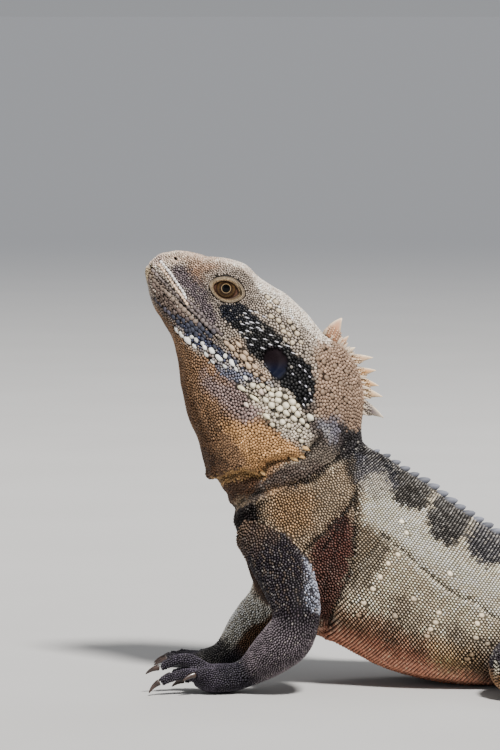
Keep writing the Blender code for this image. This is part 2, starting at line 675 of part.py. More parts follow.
def make_limb(kind, side, body_cutter):
    """One leg from its root at the body to its claws."""
    limb = f"{kind}_{side}"
    corners = LIMBS[limb]
    arm = kind == "arm"
    names = ("upper_arm", "forearm", "hand") if arm else ("thigh", "shin", "foot")
    rounding = ARM_ROUNDING if arm else LEG_ROUNDING
    sizes = (ARM_SIZES if arm else LEG_SIZES) + PALM_SIZES[limb]
    radius, claw_length = (FINGER_RADIUS, FINGER_CLAW) if arm else (TOE_RADIUS, TOE_CLAW)
    upper = on_floor(limb_rings(corners, rounding, sizes, LIMB_STATIONS[0]))
    lower = on_floor(limb_rings(corners, rounding, sizes, LIMB_STATIONS[1]))
    palm = limb_rings(corners, rounding, sizes, PALM_STATIONS)
    root = loft(f"{names[0]}_{side}", parted(upper, False, True))
    combine(root, [body_cutter], "DIFFERENCE")
    loft(f"{names[1]}_{side}", parted(lower, True, True))
    palm_end = np.array(corners[3], float)
    heading = unit(np.subtract(corners[3], corners[2])[:2])
    across = np.array((-heading[1], heading[0]))
    outer = -1 if side == "right" else 1
    pieces = []
    for n, (turn, place, *row) in enumerate(DIGITS[limb if arm else kind]):
        angle = math.radians(turn) * outer
        ahead = np.array((heading[0] * math.cos(angle) - heading[1] * math.sin(angle),
                          heading[0] * math.sin(angle) + heading[1] * math.cos(angle)))
        base = palm_end[:2] + across * place * outer - ahead * DIGIT_ROOT
        start = (base[0], base[1], palm_end[2])
        rings, claw, tip = digit(start, ahead, row, radius, claw_length)
        pieces.append(loft("digit", parted(rings, False, True), finished=False))
        loft(f"claw_{names[2]}_{side}_{n + 1}", parted(claw, True, False), tip=tip)
    whole = loft(f"{names[2]}_{side}", parted(palm, True, False))
    combine(whole, pieces, "UNION")
    combine(whole, [floor_cutter()], "DIFFERENCE")


def swollen(rings, amount):
    """The rings pushed out from their middles by a set distance."""
    grown = []
    for ring in rings:
        middle = ring.mean(axis=0)
        away = ring - middle
        grown.append(ring + amount * away / np.linalg.norm(away, axis=1)[:, None])
    return grown


def stand_on_origin():
    """Moves every mesh so that the middle of the whole object's footprint is the origin."""
    things = list(bpy.context.scene.objects)
    corners = np.array([v.co[:] for t in things for v in t.data.vertices])
    low = corners.min(axis=0)
    high = corners.max(axis=0)
    shift = -np.array(((low[0] + high[0]) / 2, (low[1] + high[1]) / 2, low[2]))
    for thing in things:
        for vertex in thing.data.vertices:
            vertex.co += type(vertex.co)(shift)
        thing.data.update()
        if not thing.name.startswith("claw"):
            thing.data.shade_smooth()
            thing.data.set_sharp_from_angle(angle=math.radians(40))


def build():
    """The whole animal."""
    for thing in list(bpy.data.objects):
        bpy.data.objects.remove(thing)
    draw = random.Random(SEED)

    snout = [head_ring(back, scale) for back, scale in SNOUT_ROUNDING]
    steps = round(HEAD_LENGTH / HEAD_RING_STEP)
    head = snout + [head_ring(HEAD_LENGTH * n / steps) for n in range(1, steps + 1)]
    make_head(head)
    for side, sign in (("left", -1), ("right", 1)):
        eye = head_point(EYE_BACK, EYE_HEIGHT, sign * EYE_OUT)
        ball(f"eye_{side}", eye, (EYE_RADIUS,) * 3, 16, 10, (BACK, DORSAL, sign * SIDE),
             finished=True)

    knots = head[-3:] + [body_ring(s) for s in BODY_STATIONS]
    rings, kept = between(knots, BODY_RING_STEP)
    neck_start = kept[2]
    trunk_start = kept[2 + FIRST_TRUNK_STATION]
    rings = list(on_floor(rings))

    neck = loft("neck", parted(rings[neck_start:trunk_start + 1], True, True))
    spines = [spine((x, 0, z), (tx, 0, tz), np.cross(SIDE, (tx - x, 0, tz - z)), length)
              for (x, z), (tx, tz), length in NECK_SPINES]
    combine(neck, spines, "UNION")

    trunk = rings[trunk_start:]
    torso = loft("torso", parted(trunk, True, True))
    ridge = ridge_line(trunk)
    crest = row_of_spines(ridge, BACK_SPINE_START, ridge[-1, 0] - SPINE_MARGINS[1],
                          BACK_SPINE_STEP, (BACK_SPINE_HEIGHT, TAIL_SPINE_HEIGHTS[0]), draw)
    combine(torso, crest, "UNION")

    tail, cuts = tail_rings(trunk[-1][0], trunk[-1][16])
    tail = list(on_floor(tail))
    for n in range(len(TAIL_RINGS)):
        part = tail[cuts[n]:cuts[n + 1] + 1]
        last = n == len(TAIL_RINGS) - 1
        node = loft(f"tail_{n + 1}", parted(part, True, not last))
        ridge = ridge_line(part)
        first_share, last_share = TAIL_CUTS[n], min(TAIL_CUTS[n + 1], TAIL_SPINE_END)
        if first_share < TAIL_SPINE_END:
            reach = min((last_share - first_share) * TAIL_LENGTH, ridge[-1, 0])
            top, low = TAIL_SPINE_HEIGHTS
            heights = [top + (low - top) * s / TAIL_SPINE_END for s in (first_share, last_share)]
            crest = row_of_spines(ridge, SPINE_MARGINS[0], reach - SPINE_MARGINS[1],
                                  TAIL_SPINE_STEP, heights, draw)
            combine(node, crest, "UNION")

    for side in ("left", "right"):
        for kind in ("arm", "leg"):
            make_limb(kind, side, loft("body_cut", swollen(trunk, GAP), finished=False))
    stand_on_origin()


build()
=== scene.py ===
# %% [markdown]
# # Dressing an eastern water dragon
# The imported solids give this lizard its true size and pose, parted into head, neck,
# torso, tail and legs. This lesson gives it looks: one seamless skin with its folds,
# tens of thousands of scales, lids, a crest, claws and wet eyes.
# Lengths are millimetres on a drawing whose origin is below the chest, and each mesh is
# moved into Blender's metres only when it is made.

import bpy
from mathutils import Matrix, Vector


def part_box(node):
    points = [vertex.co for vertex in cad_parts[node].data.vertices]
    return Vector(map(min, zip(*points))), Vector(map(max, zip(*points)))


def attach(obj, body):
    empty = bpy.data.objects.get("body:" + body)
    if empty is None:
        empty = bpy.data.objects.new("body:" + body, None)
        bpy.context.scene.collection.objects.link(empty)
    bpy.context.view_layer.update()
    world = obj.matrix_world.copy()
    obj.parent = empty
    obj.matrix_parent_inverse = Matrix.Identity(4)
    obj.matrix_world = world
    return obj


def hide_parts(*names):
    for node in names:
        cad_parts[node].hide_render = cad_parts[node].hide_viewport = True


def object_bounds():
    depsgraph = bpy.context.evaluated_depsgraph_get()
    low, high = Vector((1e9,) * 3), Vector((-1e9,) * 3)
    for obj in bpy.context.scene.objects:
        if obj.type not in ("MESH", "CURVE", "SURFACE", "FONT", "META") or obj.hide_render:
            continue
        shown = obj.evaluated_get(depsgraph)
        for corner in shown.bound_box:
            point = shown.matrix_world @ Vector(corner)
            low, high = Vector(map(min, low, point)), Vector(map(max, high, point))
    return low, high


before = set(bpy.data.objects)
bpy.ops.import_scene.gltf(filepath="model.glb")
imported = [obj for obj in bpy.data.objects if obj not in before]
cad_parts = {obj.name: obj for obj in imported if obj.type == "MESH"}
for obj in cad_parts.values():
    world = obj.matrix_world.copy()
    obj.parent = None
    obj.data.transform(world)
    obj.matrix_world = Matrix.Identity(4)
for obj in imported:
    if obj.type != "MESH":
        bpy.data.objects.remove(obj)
cad_box = [list(corner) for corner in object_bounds()]
print("box of the solids in metres:", cad_box)

# %% Modules and the drawing's place
import math

import bpy
import numpy as np
from mathutils import Vector
from mathutils.bvhtree import BVHTree
from mathutils.kdtree import KDTree

MM = 0.001
BACK = np.array((math.cos(math.radians(45)), 0, -math.sin(math.radians(45))))
DORSAL = np.array((math.sin(math.radians(45)), 0, math.cos(math.radians(45))))
SIDE = np.array((0.0, 1.0, 0.0))
UP = np.array((0.0, 0.0, 1.0))
SNOUT = np.array((-52.5, 0.0, 145.5))
# The left pupil lies so far behind the snout, above it and out from the middle
EYE_BACK, EYE_UP, EYE_OUT = 23.5, 14.3, 9.5
EYE = SNOUT + EYE_BACK * BACK + EYE_UP * DORSAL - EYE_OUT * SIDE

low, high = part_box("eye_left")
SHIFT = (np.array(low) + np.array(high)) / 2 / MM - EYE
print("the drawing's origin in the frame, in millimetres:", SHIFT.round(2))

# %% [markdown]
# ## Camera and studio
# The camera looks a little down on the animal's left side from nearly two metres away,
# with a long lens, so that the head and chest keep the proportions of a portrait. A sun
# lamp with a soft edge lights it from above, one area lamp fills the shade and another
# lights the far edge. The floor is a plain pale sheet that darkens far behind.

# %% Camera
def unit(vectors):
    """Vectors at length one, singly or in rows."""
    vectors = np.asarray(vectors, float)
    return vectors / np.maximum(np.linalg.norm(vectors, axis=-1, keepdims=True), 1e-12)


def in_metres(points):
    """Points of the drawing in the frame's metres."""
    return (np.asarray(points) + SHIFT) * MM


def on_head(points):
    """How far points lie behind the snout and above it, along the raised head."""
    offset = points - SNOUT
    return offset @ BACK, offset @ DORSAL


def eye_of(side):
    """The middle of the left eye for side -1 and of the right one for side 1."""
    return EYE * (1, -side, 1)


LOOK_DOWN = math.radians(4)
AIM_POINT = (-17.5, 0, 107.87)
CAMERA_DISTANCE = 1.82
aim = Vector((0, math.cos(LOOK_DOWN), -math.sin(LOOK_DOWN)))
camera = bpy.data.objects.new("camera", bpy.data.cameras.new("camera"))
bpy.context.scene.collection.objects.link(camera)
camera.data.lens = 250
camera.data.clip_end = 500
camera.location = Vector(in_metres(AIM_POINT)) - CAMERA_DISTANCE * aim
camera.rotation_euler = aim.to_track_quat("-Z", "Y").to_euler()
bpy.context.scene.camera = camera
print("camera at", [round(c, 3) for c in camera.location])

# %% Lamps and sky
def lamp(name, place, towards, size, power, colour):
    """A square area lamp that faces a point."""
    light = bpy.data.lights.new(name, "AREA")
    light.size = size
    light.energy = power
    light.color = colour
    holder = bpy.data.objects.new(name, light)
    bpy.context.scene.collection.objects.link(holder)
    holder.location = place
    holder.rotation_euler = (Vector(towards) - Vector(place)).to_track_quat("-Z", "Y").to_euler()


lamp("fill", (-1.1, -1.2, 0.35), (-0.30, 0, 0.06), 1.0, 3.0, (0.93, 0.96, 1.0))
lamp("rim", (0.3, 1.0, 0.9), (-0.25, 0, 0.08), 0.6, 5, (1.0, 1.0, 1.0))
key = bpy.data.objects.new("key", bpy.data.lights.new("key", "SUN"))
bpy.context.scene.collection.objects.link(key)
key.data.energy = 7.6
key.data.angle = math.radians(9)
key.data.color = (1.0, 0.98, 0.95)
key.rotation_euler = Vector((-0.22, 0.62, -0.85)).to_track_quat("-Z", "Y").to_euler()
world = bpy.data.worlds.new("studio")
bpy.context.scene.world = world
world.use_nodes = True
world.node_tree.nodes["Background"].inputs["Color"].default_value = (0.86, 0.88, 0.92, 1)
world.node_tree.nodes["Background"].inputs["Strength"].default_value = 0.40

# %% [markdown]
# ## Shader maths as plain sums
# A material is a graph of nodes, and long graphs are hard to read. The class below wraps
# one output socket, so that `1 - mask` or `noise * 0.2` adds the Math node by itself.
# Any other node comes from one method that takes its type, settings and inputs.

# %% The socket class
class Sock:
    """One socket of a material's graph, with sums and products."""

    def __init__(self, tree, socket):
        self.tree = tree
        self.socket = socket

    def node(self, kind, settings=None, out=0, **inputs):
        """A new node of a kind, its settings and inputs given, and one of its outputs."""
        made = self.tree.nodes.new(kind)
        for name, value in (settings or {}).items():
            setattr(made, name, value)
        for name, value in inputs.items():
            key = int(name[1:]) if name[0] == "i" and name[1:].isdigit() else name.replace("_", " ")
            if isinstance(value, Sock):
                self.tree.links.new(value.socket, made.inputs[key])
            else:
                made.inputs[key].default_value = value
        return Sock(self.tree, made.outputs[out])

    def sums(self, operation, first, second):
        return self.node("ShaderNodeMath", {"operation": operation}, i0=first, i1=second)

    def __add__(self, other):
        return self.sums("ADD", self, other)

    def __radd__(self, other):
        return self.sums("ADD", other, self)

    def __sub__(self, other):
        return self.sums("SUBTRACT", self, other)

    def __rsub__(self, other):
        return self.sums("SUBTRACT", other, self)

    def __mul__(self, other):
        return self.sums("MULTIPLY", self, other)

    def __rmul__(self, other):
        return self.sums("MULTIPLY", other, self)

    def above(self, edge, soft):
        """0 below the edge, 1 above it, and a ramp of the soft width between."""
        return self.node("ShaderNodeMapRange", {"clamp": True}, Value=self,
                         From_Min=edge - soft, From_Max=edge + soft)

    def ramp(self, *stops):
        """Colours picked by this value, from stops of a place and a colour."""
        made = self.node("ShaderNodeValToRGB", Fac=self)
        elements = made.socket.node.color_ramp.elements
        while len(elements) < len(stops):
            elements.new(0.5)
        for element, (place, colour) in zip(elements, stops):
            element.position = place
            element.color = (*colour, 1)
        return made

    def noise(self, scale, detail):
        """Noise read at this place."""
        return self.node("ShaderNodeTexNoise", Vector=self, Scale=scale, Detail=detail)

    def bump(self, strength, distance):
        """Fine relief with this value as its height."""
        return self.node("ShaderNodeBump", Strength=strength, Distance=distance, Height=self)

    def mixed(self, other, share, way="MIX"):
        """This colour mixed with another one by a share."""
        return self.node("ShaderNodeMix", {"data_type": "RGBA", "blend_type": way}, out=2,
                         i0=share, i6=self, i7=other)


def finish_named(name, roughness, specular=0.4, coat=0.0):
    """A new material, its Principled shader with plain settings, and a first socket."""
    material = bpy.data.materials.new(name)
    material.use_nodes = True
    shader = material.node_tree.nodes["Principled BSDF"]
    shader.inputs["Roughness"].default_value = roughness
    shader.inputs["Specular IOR Level"].default_value = specular
    shader.inputs["Coat Weight"].default_value = coat
    shader.inputs["Coat Roughness"].default_value = 0.04
    start = Sock(material.node_tree, None)
    place = start.node("ShaderNodeTexCoord", out=3)
    return material, shader, place


def into(shader, name, sock):
    """Links a socket to an input of the shader."""
    sock.tree.links.new(sock.socket, shader.inputs[name])


def linear(*colour):
    """Red, green and blue of a screen colour, 0 to 255, as linear light."""
    c = np.array(colour, float) / 255
    return np.where(c <= 0.04045, c / 12.92, ((c + 0.055) / 1.055) ** 2.4)


# %% Materials of skin, scales and floor
def scaly(name, darker, grain, specular=0.2):
    """The markings painted on a mesh as its attribute tone, with a fine dry grain."""
    material, shader, place = finish_named(name, 0.55, specular)
    tone = place.node("ShaderNodeAttribute", {"attribute_name": "tone"}, out=0)
    speckle = place.noise(grain, 3.0)
    shade = speckle.ramp((0.3, (darker,) * 3), (0.7, (1.0, 1.0, 1.0)))
    into(shader, "Base Color", tone.mixed(shade, 1.0, "MULTIPLY"))
    into(shader, "Roughness", 0.44 + speckle * 0.22)
    into(shader, "Normal", speckle.bump(0.25, 0.0001))
    return material


SKIN_FINISH = scaly("skin between scales", 0.75, 1800, 0.04)
SCALE_FINISH = scaly("dry scales", 0.82, 1100)

floor_finish, floor_shader, floor_place = finish_named("pale floor", 0.85, 0.2)
pale = floor_place.noise(9.0, 4.0).ramp((0.2, (0.44, 0.433, 0.423)), (0.8, (0.475, 0.468, 0.458)))
across_floor = floor_place.node("ShaderNodeSeparateXYZ", out=1, Vector=floor_place)
behind = across_floor.node("ShaderNodeMapRange", {"interpolation_type": "SMOOTHSTEP"},
                           Value=across_floor, From_Min=0.15, From_Max=3.6)
into(floor_shader, "Base Color", pale.mixed((0.154, 0.160, 0.172, 1), behind))
bpy.ops.object.select_all(action="DESELECT")
bpy.ops.mesh.primitive_plane_add(size=400, location=(0, 0, 0))
floor = bpy.context.object
floor.name = "floor"
floor.data.materials.append(floor_finish)
print("materials:", [m.name for m in (SKIN_FINISH, SCALE_FINISH, floor_finish)])

# %% [markdown]
# ## Guides through the body
# Rows of scales run round the body as hoops round a barrel. To find them, each point of
# the skin needs a place along a guide and an angle round it. The trunk's guide is a set
# of slanted sections from its top and bottom lines. The tail's and legs' guides are lines.

# %% Curves, sections and lines
def through(knots, at):
    """A smooth curve through knots of (place, value, ...), read at many places."""
    table = np.asarray(knots, float)
    places, values = table[:, 0], table[:, 1:]
    slopes = np.gradient(values, places, axis=0)
    at = np.clip(np.asarray(at, float), places[0], places[-1])
    left = np.clip(np.searchsorted(places, at) - 1, 0, len(places) - 2)
    span = (places[left + 1] - places[left])
    t = ((at - places[left]) / span)[..., None]
    span = span[..., None]
    return ((1 + 2 * t) * (1 - t) ** 2 * values[left] + t * (1 - t) ** 2 * span * slopes[left]
            + t * t * (3 - 2 * t) * values[left + 1] + t * t * (t - 1) * span * slopes[left + 1])


# The head's sections: distance behind the snout, height of the crown, depth of the throat
HEAD_SECTIONS = ((2, 10.6, -3.9), (8, 15.1, -7.6), (16, 18.7, -10.0), (24, 22.2, -12.4),
                 (32, 24.7, -17.6), (41, 27.0, -24.2), (50, 27.4, -29.1), (58, 26.5, -33.0))
# The body's sections: top and bottom as x and z, from the neck to the hips
BODY_SECTIONS = (
    (15.8, 118.0, -33.4, 75.5), (21.5, 108.0, -31.8, 70.5), (23.0, 99.0, -27.0, 68.5),
    (21.7, 90.5, -25.3, 65.0), (21.7, 84.6, -23.8, 59.8), (29.4, 79.8, -20.0, 45.8),
    (36.8, 74.6, -13.3, 28.9), (45.9, 68.9, 0.0, 20.1), (54.6, 61.9, 14.0, 13.1),
    (70.0, 52.0, 29.8, 5.0), (88.0, 43.0, 56.7, -0.8), (106.0, 35.5, 86.0, -1.2),
    (124.0, 30.0, 114.0, -1.0), (139.0, 26.0, 139.0, -0.3), (150.0, 24.0, 150.0, -0.3))
head_ends = [np.concatenate([(SNOUT + back * BACK + height * DORSAL)[[0, 2]]
                             for height in (crown, throat)])
             for back, crown, throat in HEAD_SECTIONS]
SECTIONS = np.vstack((head_ends, BODY_SECTIONS))
middles = (SECTIONS[:, :2] + SECTIONS[:, 2:]) / 2
places = np.concatenate(([0], np.cumsum(np.linalg.norm(np.diff(middles, axis=0), axis=1))))
TRUNK_LENGTH = places[-1]
trunk_at = np.arange(0, TRUNK_LENGTH, 0.7)
trunk = through(np.column_stack((places, SECTIONS)), trunk_at)
TRUNK_TOP = np.column_stack((trunk[:, 0], 0 * trunk_at, trunk[:, 1]))
TRUNK_LOW = np.column_stack((trunk[:, 2], 0 * trunk_at, trunk[:, 3]))
TRUNK_MIDDLE = (TRUNK_TOP + TRUNK_LOW) / 2
TRUNK_UP = unit(TRUNK_TOP - TRUNK_LOW)
TRUNK_ALONG = np.cross(SIDE, TRUNK_UP)

TAIL_LENGTH = 580.0
TAIL_START = (139.0, 0.0)
# The guide runs this much below the middle of the tail's height
TAIL_DROP = 0.25
TAIL_SIZES = ((0, 12.5, 13.15), (0.05, 11, 12), (0.12, 8.8, 10.5), (0.25, 6.4, 8.2),
              (0.45, 4.2, 5.6), (0.65, 2.8, 3.6), (0.85, 1.6, 1.9), (1, 0.6, 0.6))
tail_share = np.linspace(0, 1, 581)
swing = math.radians(28) * np.sin(2 * np.pi * (tail_share[:-1] + 0.5 / TAIL_LENGTH))
steps = np.column_stack((np.cos(swing), np.sin(swing)))
TAIL_LINE = np.column_stack((np.vstack((TAIL_START, TAIL_START + np.cumsum(steps, axis=0))),
                             through(TAIL_SIZES, tail_share)[:, 1] - TAIL_DROP))

# The middles of shoulder or hip, elbow or knee, wrist or ankle, and longest toe's tip
LEG_CORNERS = {
    "arm_left": ((-12, -8, 54), (1.8, -43.1, 25.6), (-19.3, -30, 5.4), (-33.5, -31, 5.0)),
    "arm_right": ((-2, 8, 52), (-9.5, 39.5, 23.0), (-26.6, 36.5, 4.6), (-36.0, 44.0, 2.5)),
    "leg_left": ((118, -6, 20), (60.5, -44.3, 10.6), (108, -69, 5.2), (103.5, -91.5, 2.7)),
    "leg_right": ((122, 6, 20), (70, 46.3, 10.6), (116, 68, 5.2), (111.5, 90.5, 2.7))}


def rounded_line(corners):
    """A line through a limb's corners, rounded at elbow and wrist, and the corner number."""
    reach = 0.4
    corners = np.array(corners, float)
    line = []
    numbers = np.arange(0, 3.3, 0.01)
    for p in numbers:
        near = int(round(p))
        if near in (1, 2) and abs(p - near) < reach:
            start = corners[near] + reach * (corners[near - 1] - corners[near])
            end = corners[near] + reach * (corners[near + 1] - corners[near])
            t = (p - near + reach) / (2 * reach)
            line.append((1 - t) ** 2 * start + 2 * t * (1 - t) * corners[near] + t * t * end)
        else:
            left = min(int(p), 2)
            line.append(corners[left] + (p - left) * (corners[left + 1] - corners[left]))
    return np.array(line), numbers


def along_line(points, line):
    """Place along a line, angle from its upper side, and the line's direction, for points."""
    reach = np.concatenate(([0], np.cumsum(np.linalg.norm(np.diff(line, axis=0), axis=1))))
    heading = unit(np.gradient(line, axis=0))
    nearest = np.empty(len(points), int)
    for start in range(0, len(points), 4000):
        part = points[start:start + 4000]
        gap = ((part[:, None, :] - line[None, :, :]) ** 2).sum(axis=2)
        nearest[start:start + 4000] = gap.argmin(axis=1)
    offset = points - line[nearest]
    ahead = (offset * heading[nearest]).sum(axis=1)
    across = unit(np.cross(UP, heading[nearest]))
    over = np.cross(heading[nearest], across)
    angle = np.arctan2((offset * across).sum(axis=1), (offset * over).sum(axis=1))
    return reach[nearest] + ahead, angle, heading[nearest], nearest


print(f"trunk guide {TRUNK_LENGTH:.0f} mm, tail {TAIL_LENGTH:.0f} mm")

# %% [markdown]
# ## One skin over the parted solids
# The real skin has no seams, but the solids are parted by thin cuts and carry coarse
# spines. Copies of them are joined, the spines are pressed flat, all is swollen by a hair
# to close the cuts, and a voxel remesh melts everything into one even surface. Smoothing
# then removes the facets, and the skin sinks by the depth of the scales.

# %% Join copies of the nodes of flesh
def loose_copy(name):
    """A copy of a node with no ties to the frame, linked, selected and active."""
    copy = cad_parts[name].copy()
    copy.data = copy.data.copy()
    copy.parent = None
    for key in list(copy.keys()):
        del copy[key]
    bpy.context.scene.collection.objects.link(copy)
    copy.select_set(True)
    bpy.context.view_layer.objects.active = copy
    return copy


def joined_as(name):
    """The selected copies joined into one named piece, with the corners they share merged."""
    bpy.ops.object.join()
    piece = bpy.context.object
    piece.name = name
    bpy.ops.object.mode_set(mode="EDIT")
    bpy.ops.mesh.select_all(action="SELECT")
    bpy.ops.mesh.remove_doubles(threshold=1e-6)
    bpy.ops.object.mode_set(mode="OBJECT")
    return piece


def apply_modifier(piece, kind, **settings):
    """Gives a piece a modifier with its settings, and applies it."""
    modifier = piece.modifiers.new(kind.lower(), kind)
    for key, value in settings.items():
        setattr(modifier, key, value)
    bpy.context.view_layer.objects.active = piece
    bpy.ops.object.modifier_apply(modifier=modifier.name)


flesh = [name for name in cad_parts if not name.startswith(("eye", "claw"))]
RIDGE = through(np.column_stack((places, SECTIONS)), np.arange(0, TRUNK_LENGTH, 0.4))[:, :2]
FLAT_WIDTH = 0.9


def press_spines(mesh, name):
    """Moves the points of spines on a copied node down to the ridge that carries them."""
    points = np.empty(3 * len(mesh.vertices), np.float32)
    mesh.vertices.foreach_get("co", points)
    points = points.reshape(-1, 3).astype(float) / MM - SHIFT
    if name.startswith("tail"):
        nearest = along_line(points * (1, 1, 0), TAIL_LINE * (1, 1, 0))[3]
        heading = unit(np.gradient(TAIL_LINE * (1, 1, 0), axis=0))[nearest]
        off = np.abs(((points - TAIL_LINE[nearest]) * np.cross(UP, heading)).sum(axis=1))
        top = 2 * TAIL_LINE[nearest, 2] + TAIL_DROP
        spine = (off < FLAT_WIDTH) & (points[:, 2] > top + 0.1)
        points[spine, 2] = top[spine]
    else:
        flat = points[:, (0, 2)]
        nearest = ((flat[:, None] - RIDGE[None]) ** 2).sum(axis=2).argmin(axis=1)
        heading = unit(np.gradient(RIDGE, axis=0))[nearest]
        outward = np.column_stack((-heading[:, 1], heading[:, 0]))
        height = ((flat - RIDGE[nearest]) * outward).sum(axis=1)
        spine = (np.abs(points[:, 1]) < FLAT_WIDTH) & (height > 0.1)
        moved = flat - outward * height[:, None]
        points[spine, 0] = moved[spine, 0]
        points[spine, 2] = moved[spine, 1]
    mesh.vertices.foreach_set("co", in_metres(points).astype(np.float32).ravel())
    return int(spine.sum())


bpy.ops.object.select_all(action="DESELECT")
pressed = 0
for name in flesh:
    copy = loose_copy(name)
    if name in ("neck", "torso") or name.startswith("tail"):
        pressed += press_spines(copy.data, name)
skin = joined_as("skin")
print(f"{len(flesh)} nodes joined, {pressed} spine corners pressed flat")

# %% Melt them into one surface
SWELL = 0.22
SCALE_DEPTH = 0.42
apply_modifier(skin, "DISPLACE", mid_level=0, strength=SWELL * MM)
apply_modifier(skin, "REMESH", mode="VOXEL", voxel_size=0.8 * MM)


def read_mesh(mesh):
    """Points in drawing millimetres, triangles and edges of a mesh."""
    points = np.empty(3 * len(mesh.vertices), np.float32)
    mesh.vertices.foreach_get("co", points)
    mesh.calc_loop_triangles()
    triangles = np.empty(3 * len(mesh.loop_triangles), np.int32)
    mesh.loop_triangles.foreach_get("vertices", triangles)
    edges = np.empty(2 * len(mesh.edges), np.int32)
    mesh.edges.foreach_get("vertices", edges)
    return (points.reshape(-1, 3).astype(float) / MM - SHIFT, triangles.reshape(-1, 3),
            edges.reshape(-1, 2))


def normals_of(points, triangles):
    """Smooth outward normals of all points."""
    a, b, c = (points[triangles[:, n]] for n in range(3))
    face = np.cross(b - a, c - a)
    total = np.column_stack([np.bincount(triangles.ravel(), np.repeat(face[:, k], 3), len(points))
                             for k in range(3)])
    return unit(total)


def spread(values, edges, count):
    """The mean of each point's neighbours."""
    both = np.concatenate((edges[:, 0], edges[:, 1]))
    other = np.concatenate((edges[:, 1], edges[:, 0]))
    number = np.bincount(both, minlength=count)[:, None]
    total = np.column_stack([np.bincount(both, values[other, k], count)
                             for k in range(values.shape[1])])
    return total / np.maximum(number, 1)


# Points, triangles, edges and normals of the skin. Each round of smoothing shrinks it a
# little and swells it again, but for the last one.
P, F, E = read_mesh(skin.data)
ROUNDS = 14
for turn in range(ROUNDS):
    P = P + 0.6 * (spread(P, E, len(P)) - P)
    if turn < ROUNDS - 1:
        P = P - 0.62 * (spread(P, E, len(P)) - P)
N = normals_of(P, F)
for turn in range(3):
    N = unit(spread(N, E, len(P)))
P = P - (SWELL + SCALE_DEPTH) * N
P[:, 2] = np.maximum(P[:, 2], SCALE_DEPTH)
print(f"skin of {len(P)} points and {len(F)} triangles")

# %% [markdown]
# ## Where each point of the skin lies
# Each point is given the node it came from, its place along a guide and its angle round
# it. Markings are drawn on a side view of the animal, with positions across and down in
# units of 0.35 mm, and both flanks take the same drawing, as the real ones nearly do.

# %% Node, place and angle of every point
boxes = [read_mesh(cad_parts[name].data) for name in flesh]
starts = np.cumsum([0] + [len(points) for points, _, _ in boxes])
solid_tree = BVHTree.FromPolygons(
    [tuple(p) for points, _, _ in boxes for p in points],
    [tuple(t + start) for (_, triangles, _), start in zip(boxes, starts) for t in triangles])
face_owner = np.concatenate([np.full(len(triangles), n)
                             for n, (_, triangles, _) in enumerate(boxes)])
owner = face_owner[[solid_tree.find_nearest(Vector(p))[2] for p in P]]


def belongs(*starts_of_names):
    """Which points came from nodes whose names start so."""
    wanted = [n for n, name in enumerate(flesh) if name.startswith(starts_of_names)]
    return np.isin(owner, wanted)


def on_trunk(points):
    """Place along the trunk's guide, angle from the back's ridge, and the guide's number."""
    place = np.empty(len(points))
    number = np.empty(len(points), int)
    for start in range(0, len(points), 8000):
        part = points[start:start + 8000]
        ahead = (part @ TRUNK_ALONG.T) - (TRUNK_MIDDLE * TRUNK_ALONG).sum(axis=1)
        last = np.clip((ahead > 0).sum(axis=1) - 1, 0, len(trunk_at) - 2)
        rows = np.arange(len(part))
        here, beyond = ahead[rows, last], ahead[rows, last + 1]
        share = np.clip(here / np.maximum(here - beyond, 1e-6), -20, 20)
        place[start:start + 8000] = trunk_at[last] + 0.7 * share
        number[start:start + 8000] = last
    height = ((points - TRUNK_MIDDLE[number]) * TRUNK_UP[number]).sum(axis=1)
    return place, np.arctan2(points[:, 1], height), TRUNK_ALONG[number], number


LIMB_LINES = {limb: rounded_line(corners) for limb, corners in LEG_CORNERS.items()}
LIMB_NODES = {limb: tuple(f"{part}_{limb[4:]}" for part in
                          (("upper_arm", "forearm", "hand") if limb.startswith("arm")
                           else ("thigh", "shin", "foot")))
              for limb in LEG_CORNERS}
place = np.zeros(len(P))
angle = np.zeros(len(P))
ahead = np.zeros((len(P), 3))
corner = np.zeros(len(P))
body_part = belongs("head", "neck", "torso")
place[body_part], angle[body_part], ahead[body_part], _ = on_trunk(P[body_part])
tail_part = belongs("tail")
place[tail_part], angle[tail_part], ahead[tail_part], _ = along_line(P[tail_part], TAIL_LINE)
for limb, names in LIMB_NODES.items():
    part = belongs(*names)
    line, numbers = LIMB_LINES[limb]
    place[part], angle[part], ahead[part], nearest = along_line(P[part], line)
    corner[part] = numbers[nearest]
print("points of the body, tail and limbs:", body_part.sum(), tail_part.sum(),
      (~body_part & ~tail_part).sum())

# %% [markdown]
# ## Folds and markings
# Folds of skin cross the throat, the shoulder and the flank, and markings follow the
# same drawing. Both could be painted as pictures. Here each is a drawn line or outline,
# measured against every point, so that skin and scales agree at any fineness.

# %% Lines and outlines on the side view
DRAWN_UNIT = 0.35
# Where x = 0 and the bottom line lie on the drawing, and how deep that line is
ACROSS_ZERO, DOWN_ZERO, BELOW_FLOOR = 300, 688, 1.95


def drawn(points):
    """Across and down on the side view, in its units."""
    height = points[:, 2] * math.cos(LOOK_DOWN) - np.abs(points[:, 1]) * math.sin(LOOK_DOWN)
    return np.column_stack((ACROSS_ZERO + points[:, 0] / DRAWN_UNIT,
                            DOWN_ZERO - (height + BELOW_FLOOR) / DRAWN_UNIT))


def away_from(at, line, closed=False):
    """How far places on the drawing are from a drawn line."""
    line = np.array(line, float)
    ends = np.roll(line, -1, axis=0) if closed else line[1:]
    best = np.full(len(at), 1e9)
    for a, b in zip(line, ends):
        t = np.clip(((at - a) @ (b - a)) / ((b - a) @ (b - a)), 0, 1)
        best = np.minimum(best, np.hypot(*(at - a - t[:, None] * (b - a)).T))
    return best


def eased(share):
    """0 below 0, 1 above 1, and a smooth rise between."""
    share = np.clip(share, 0, 1)
    return share * share * (3 - 2 * share)


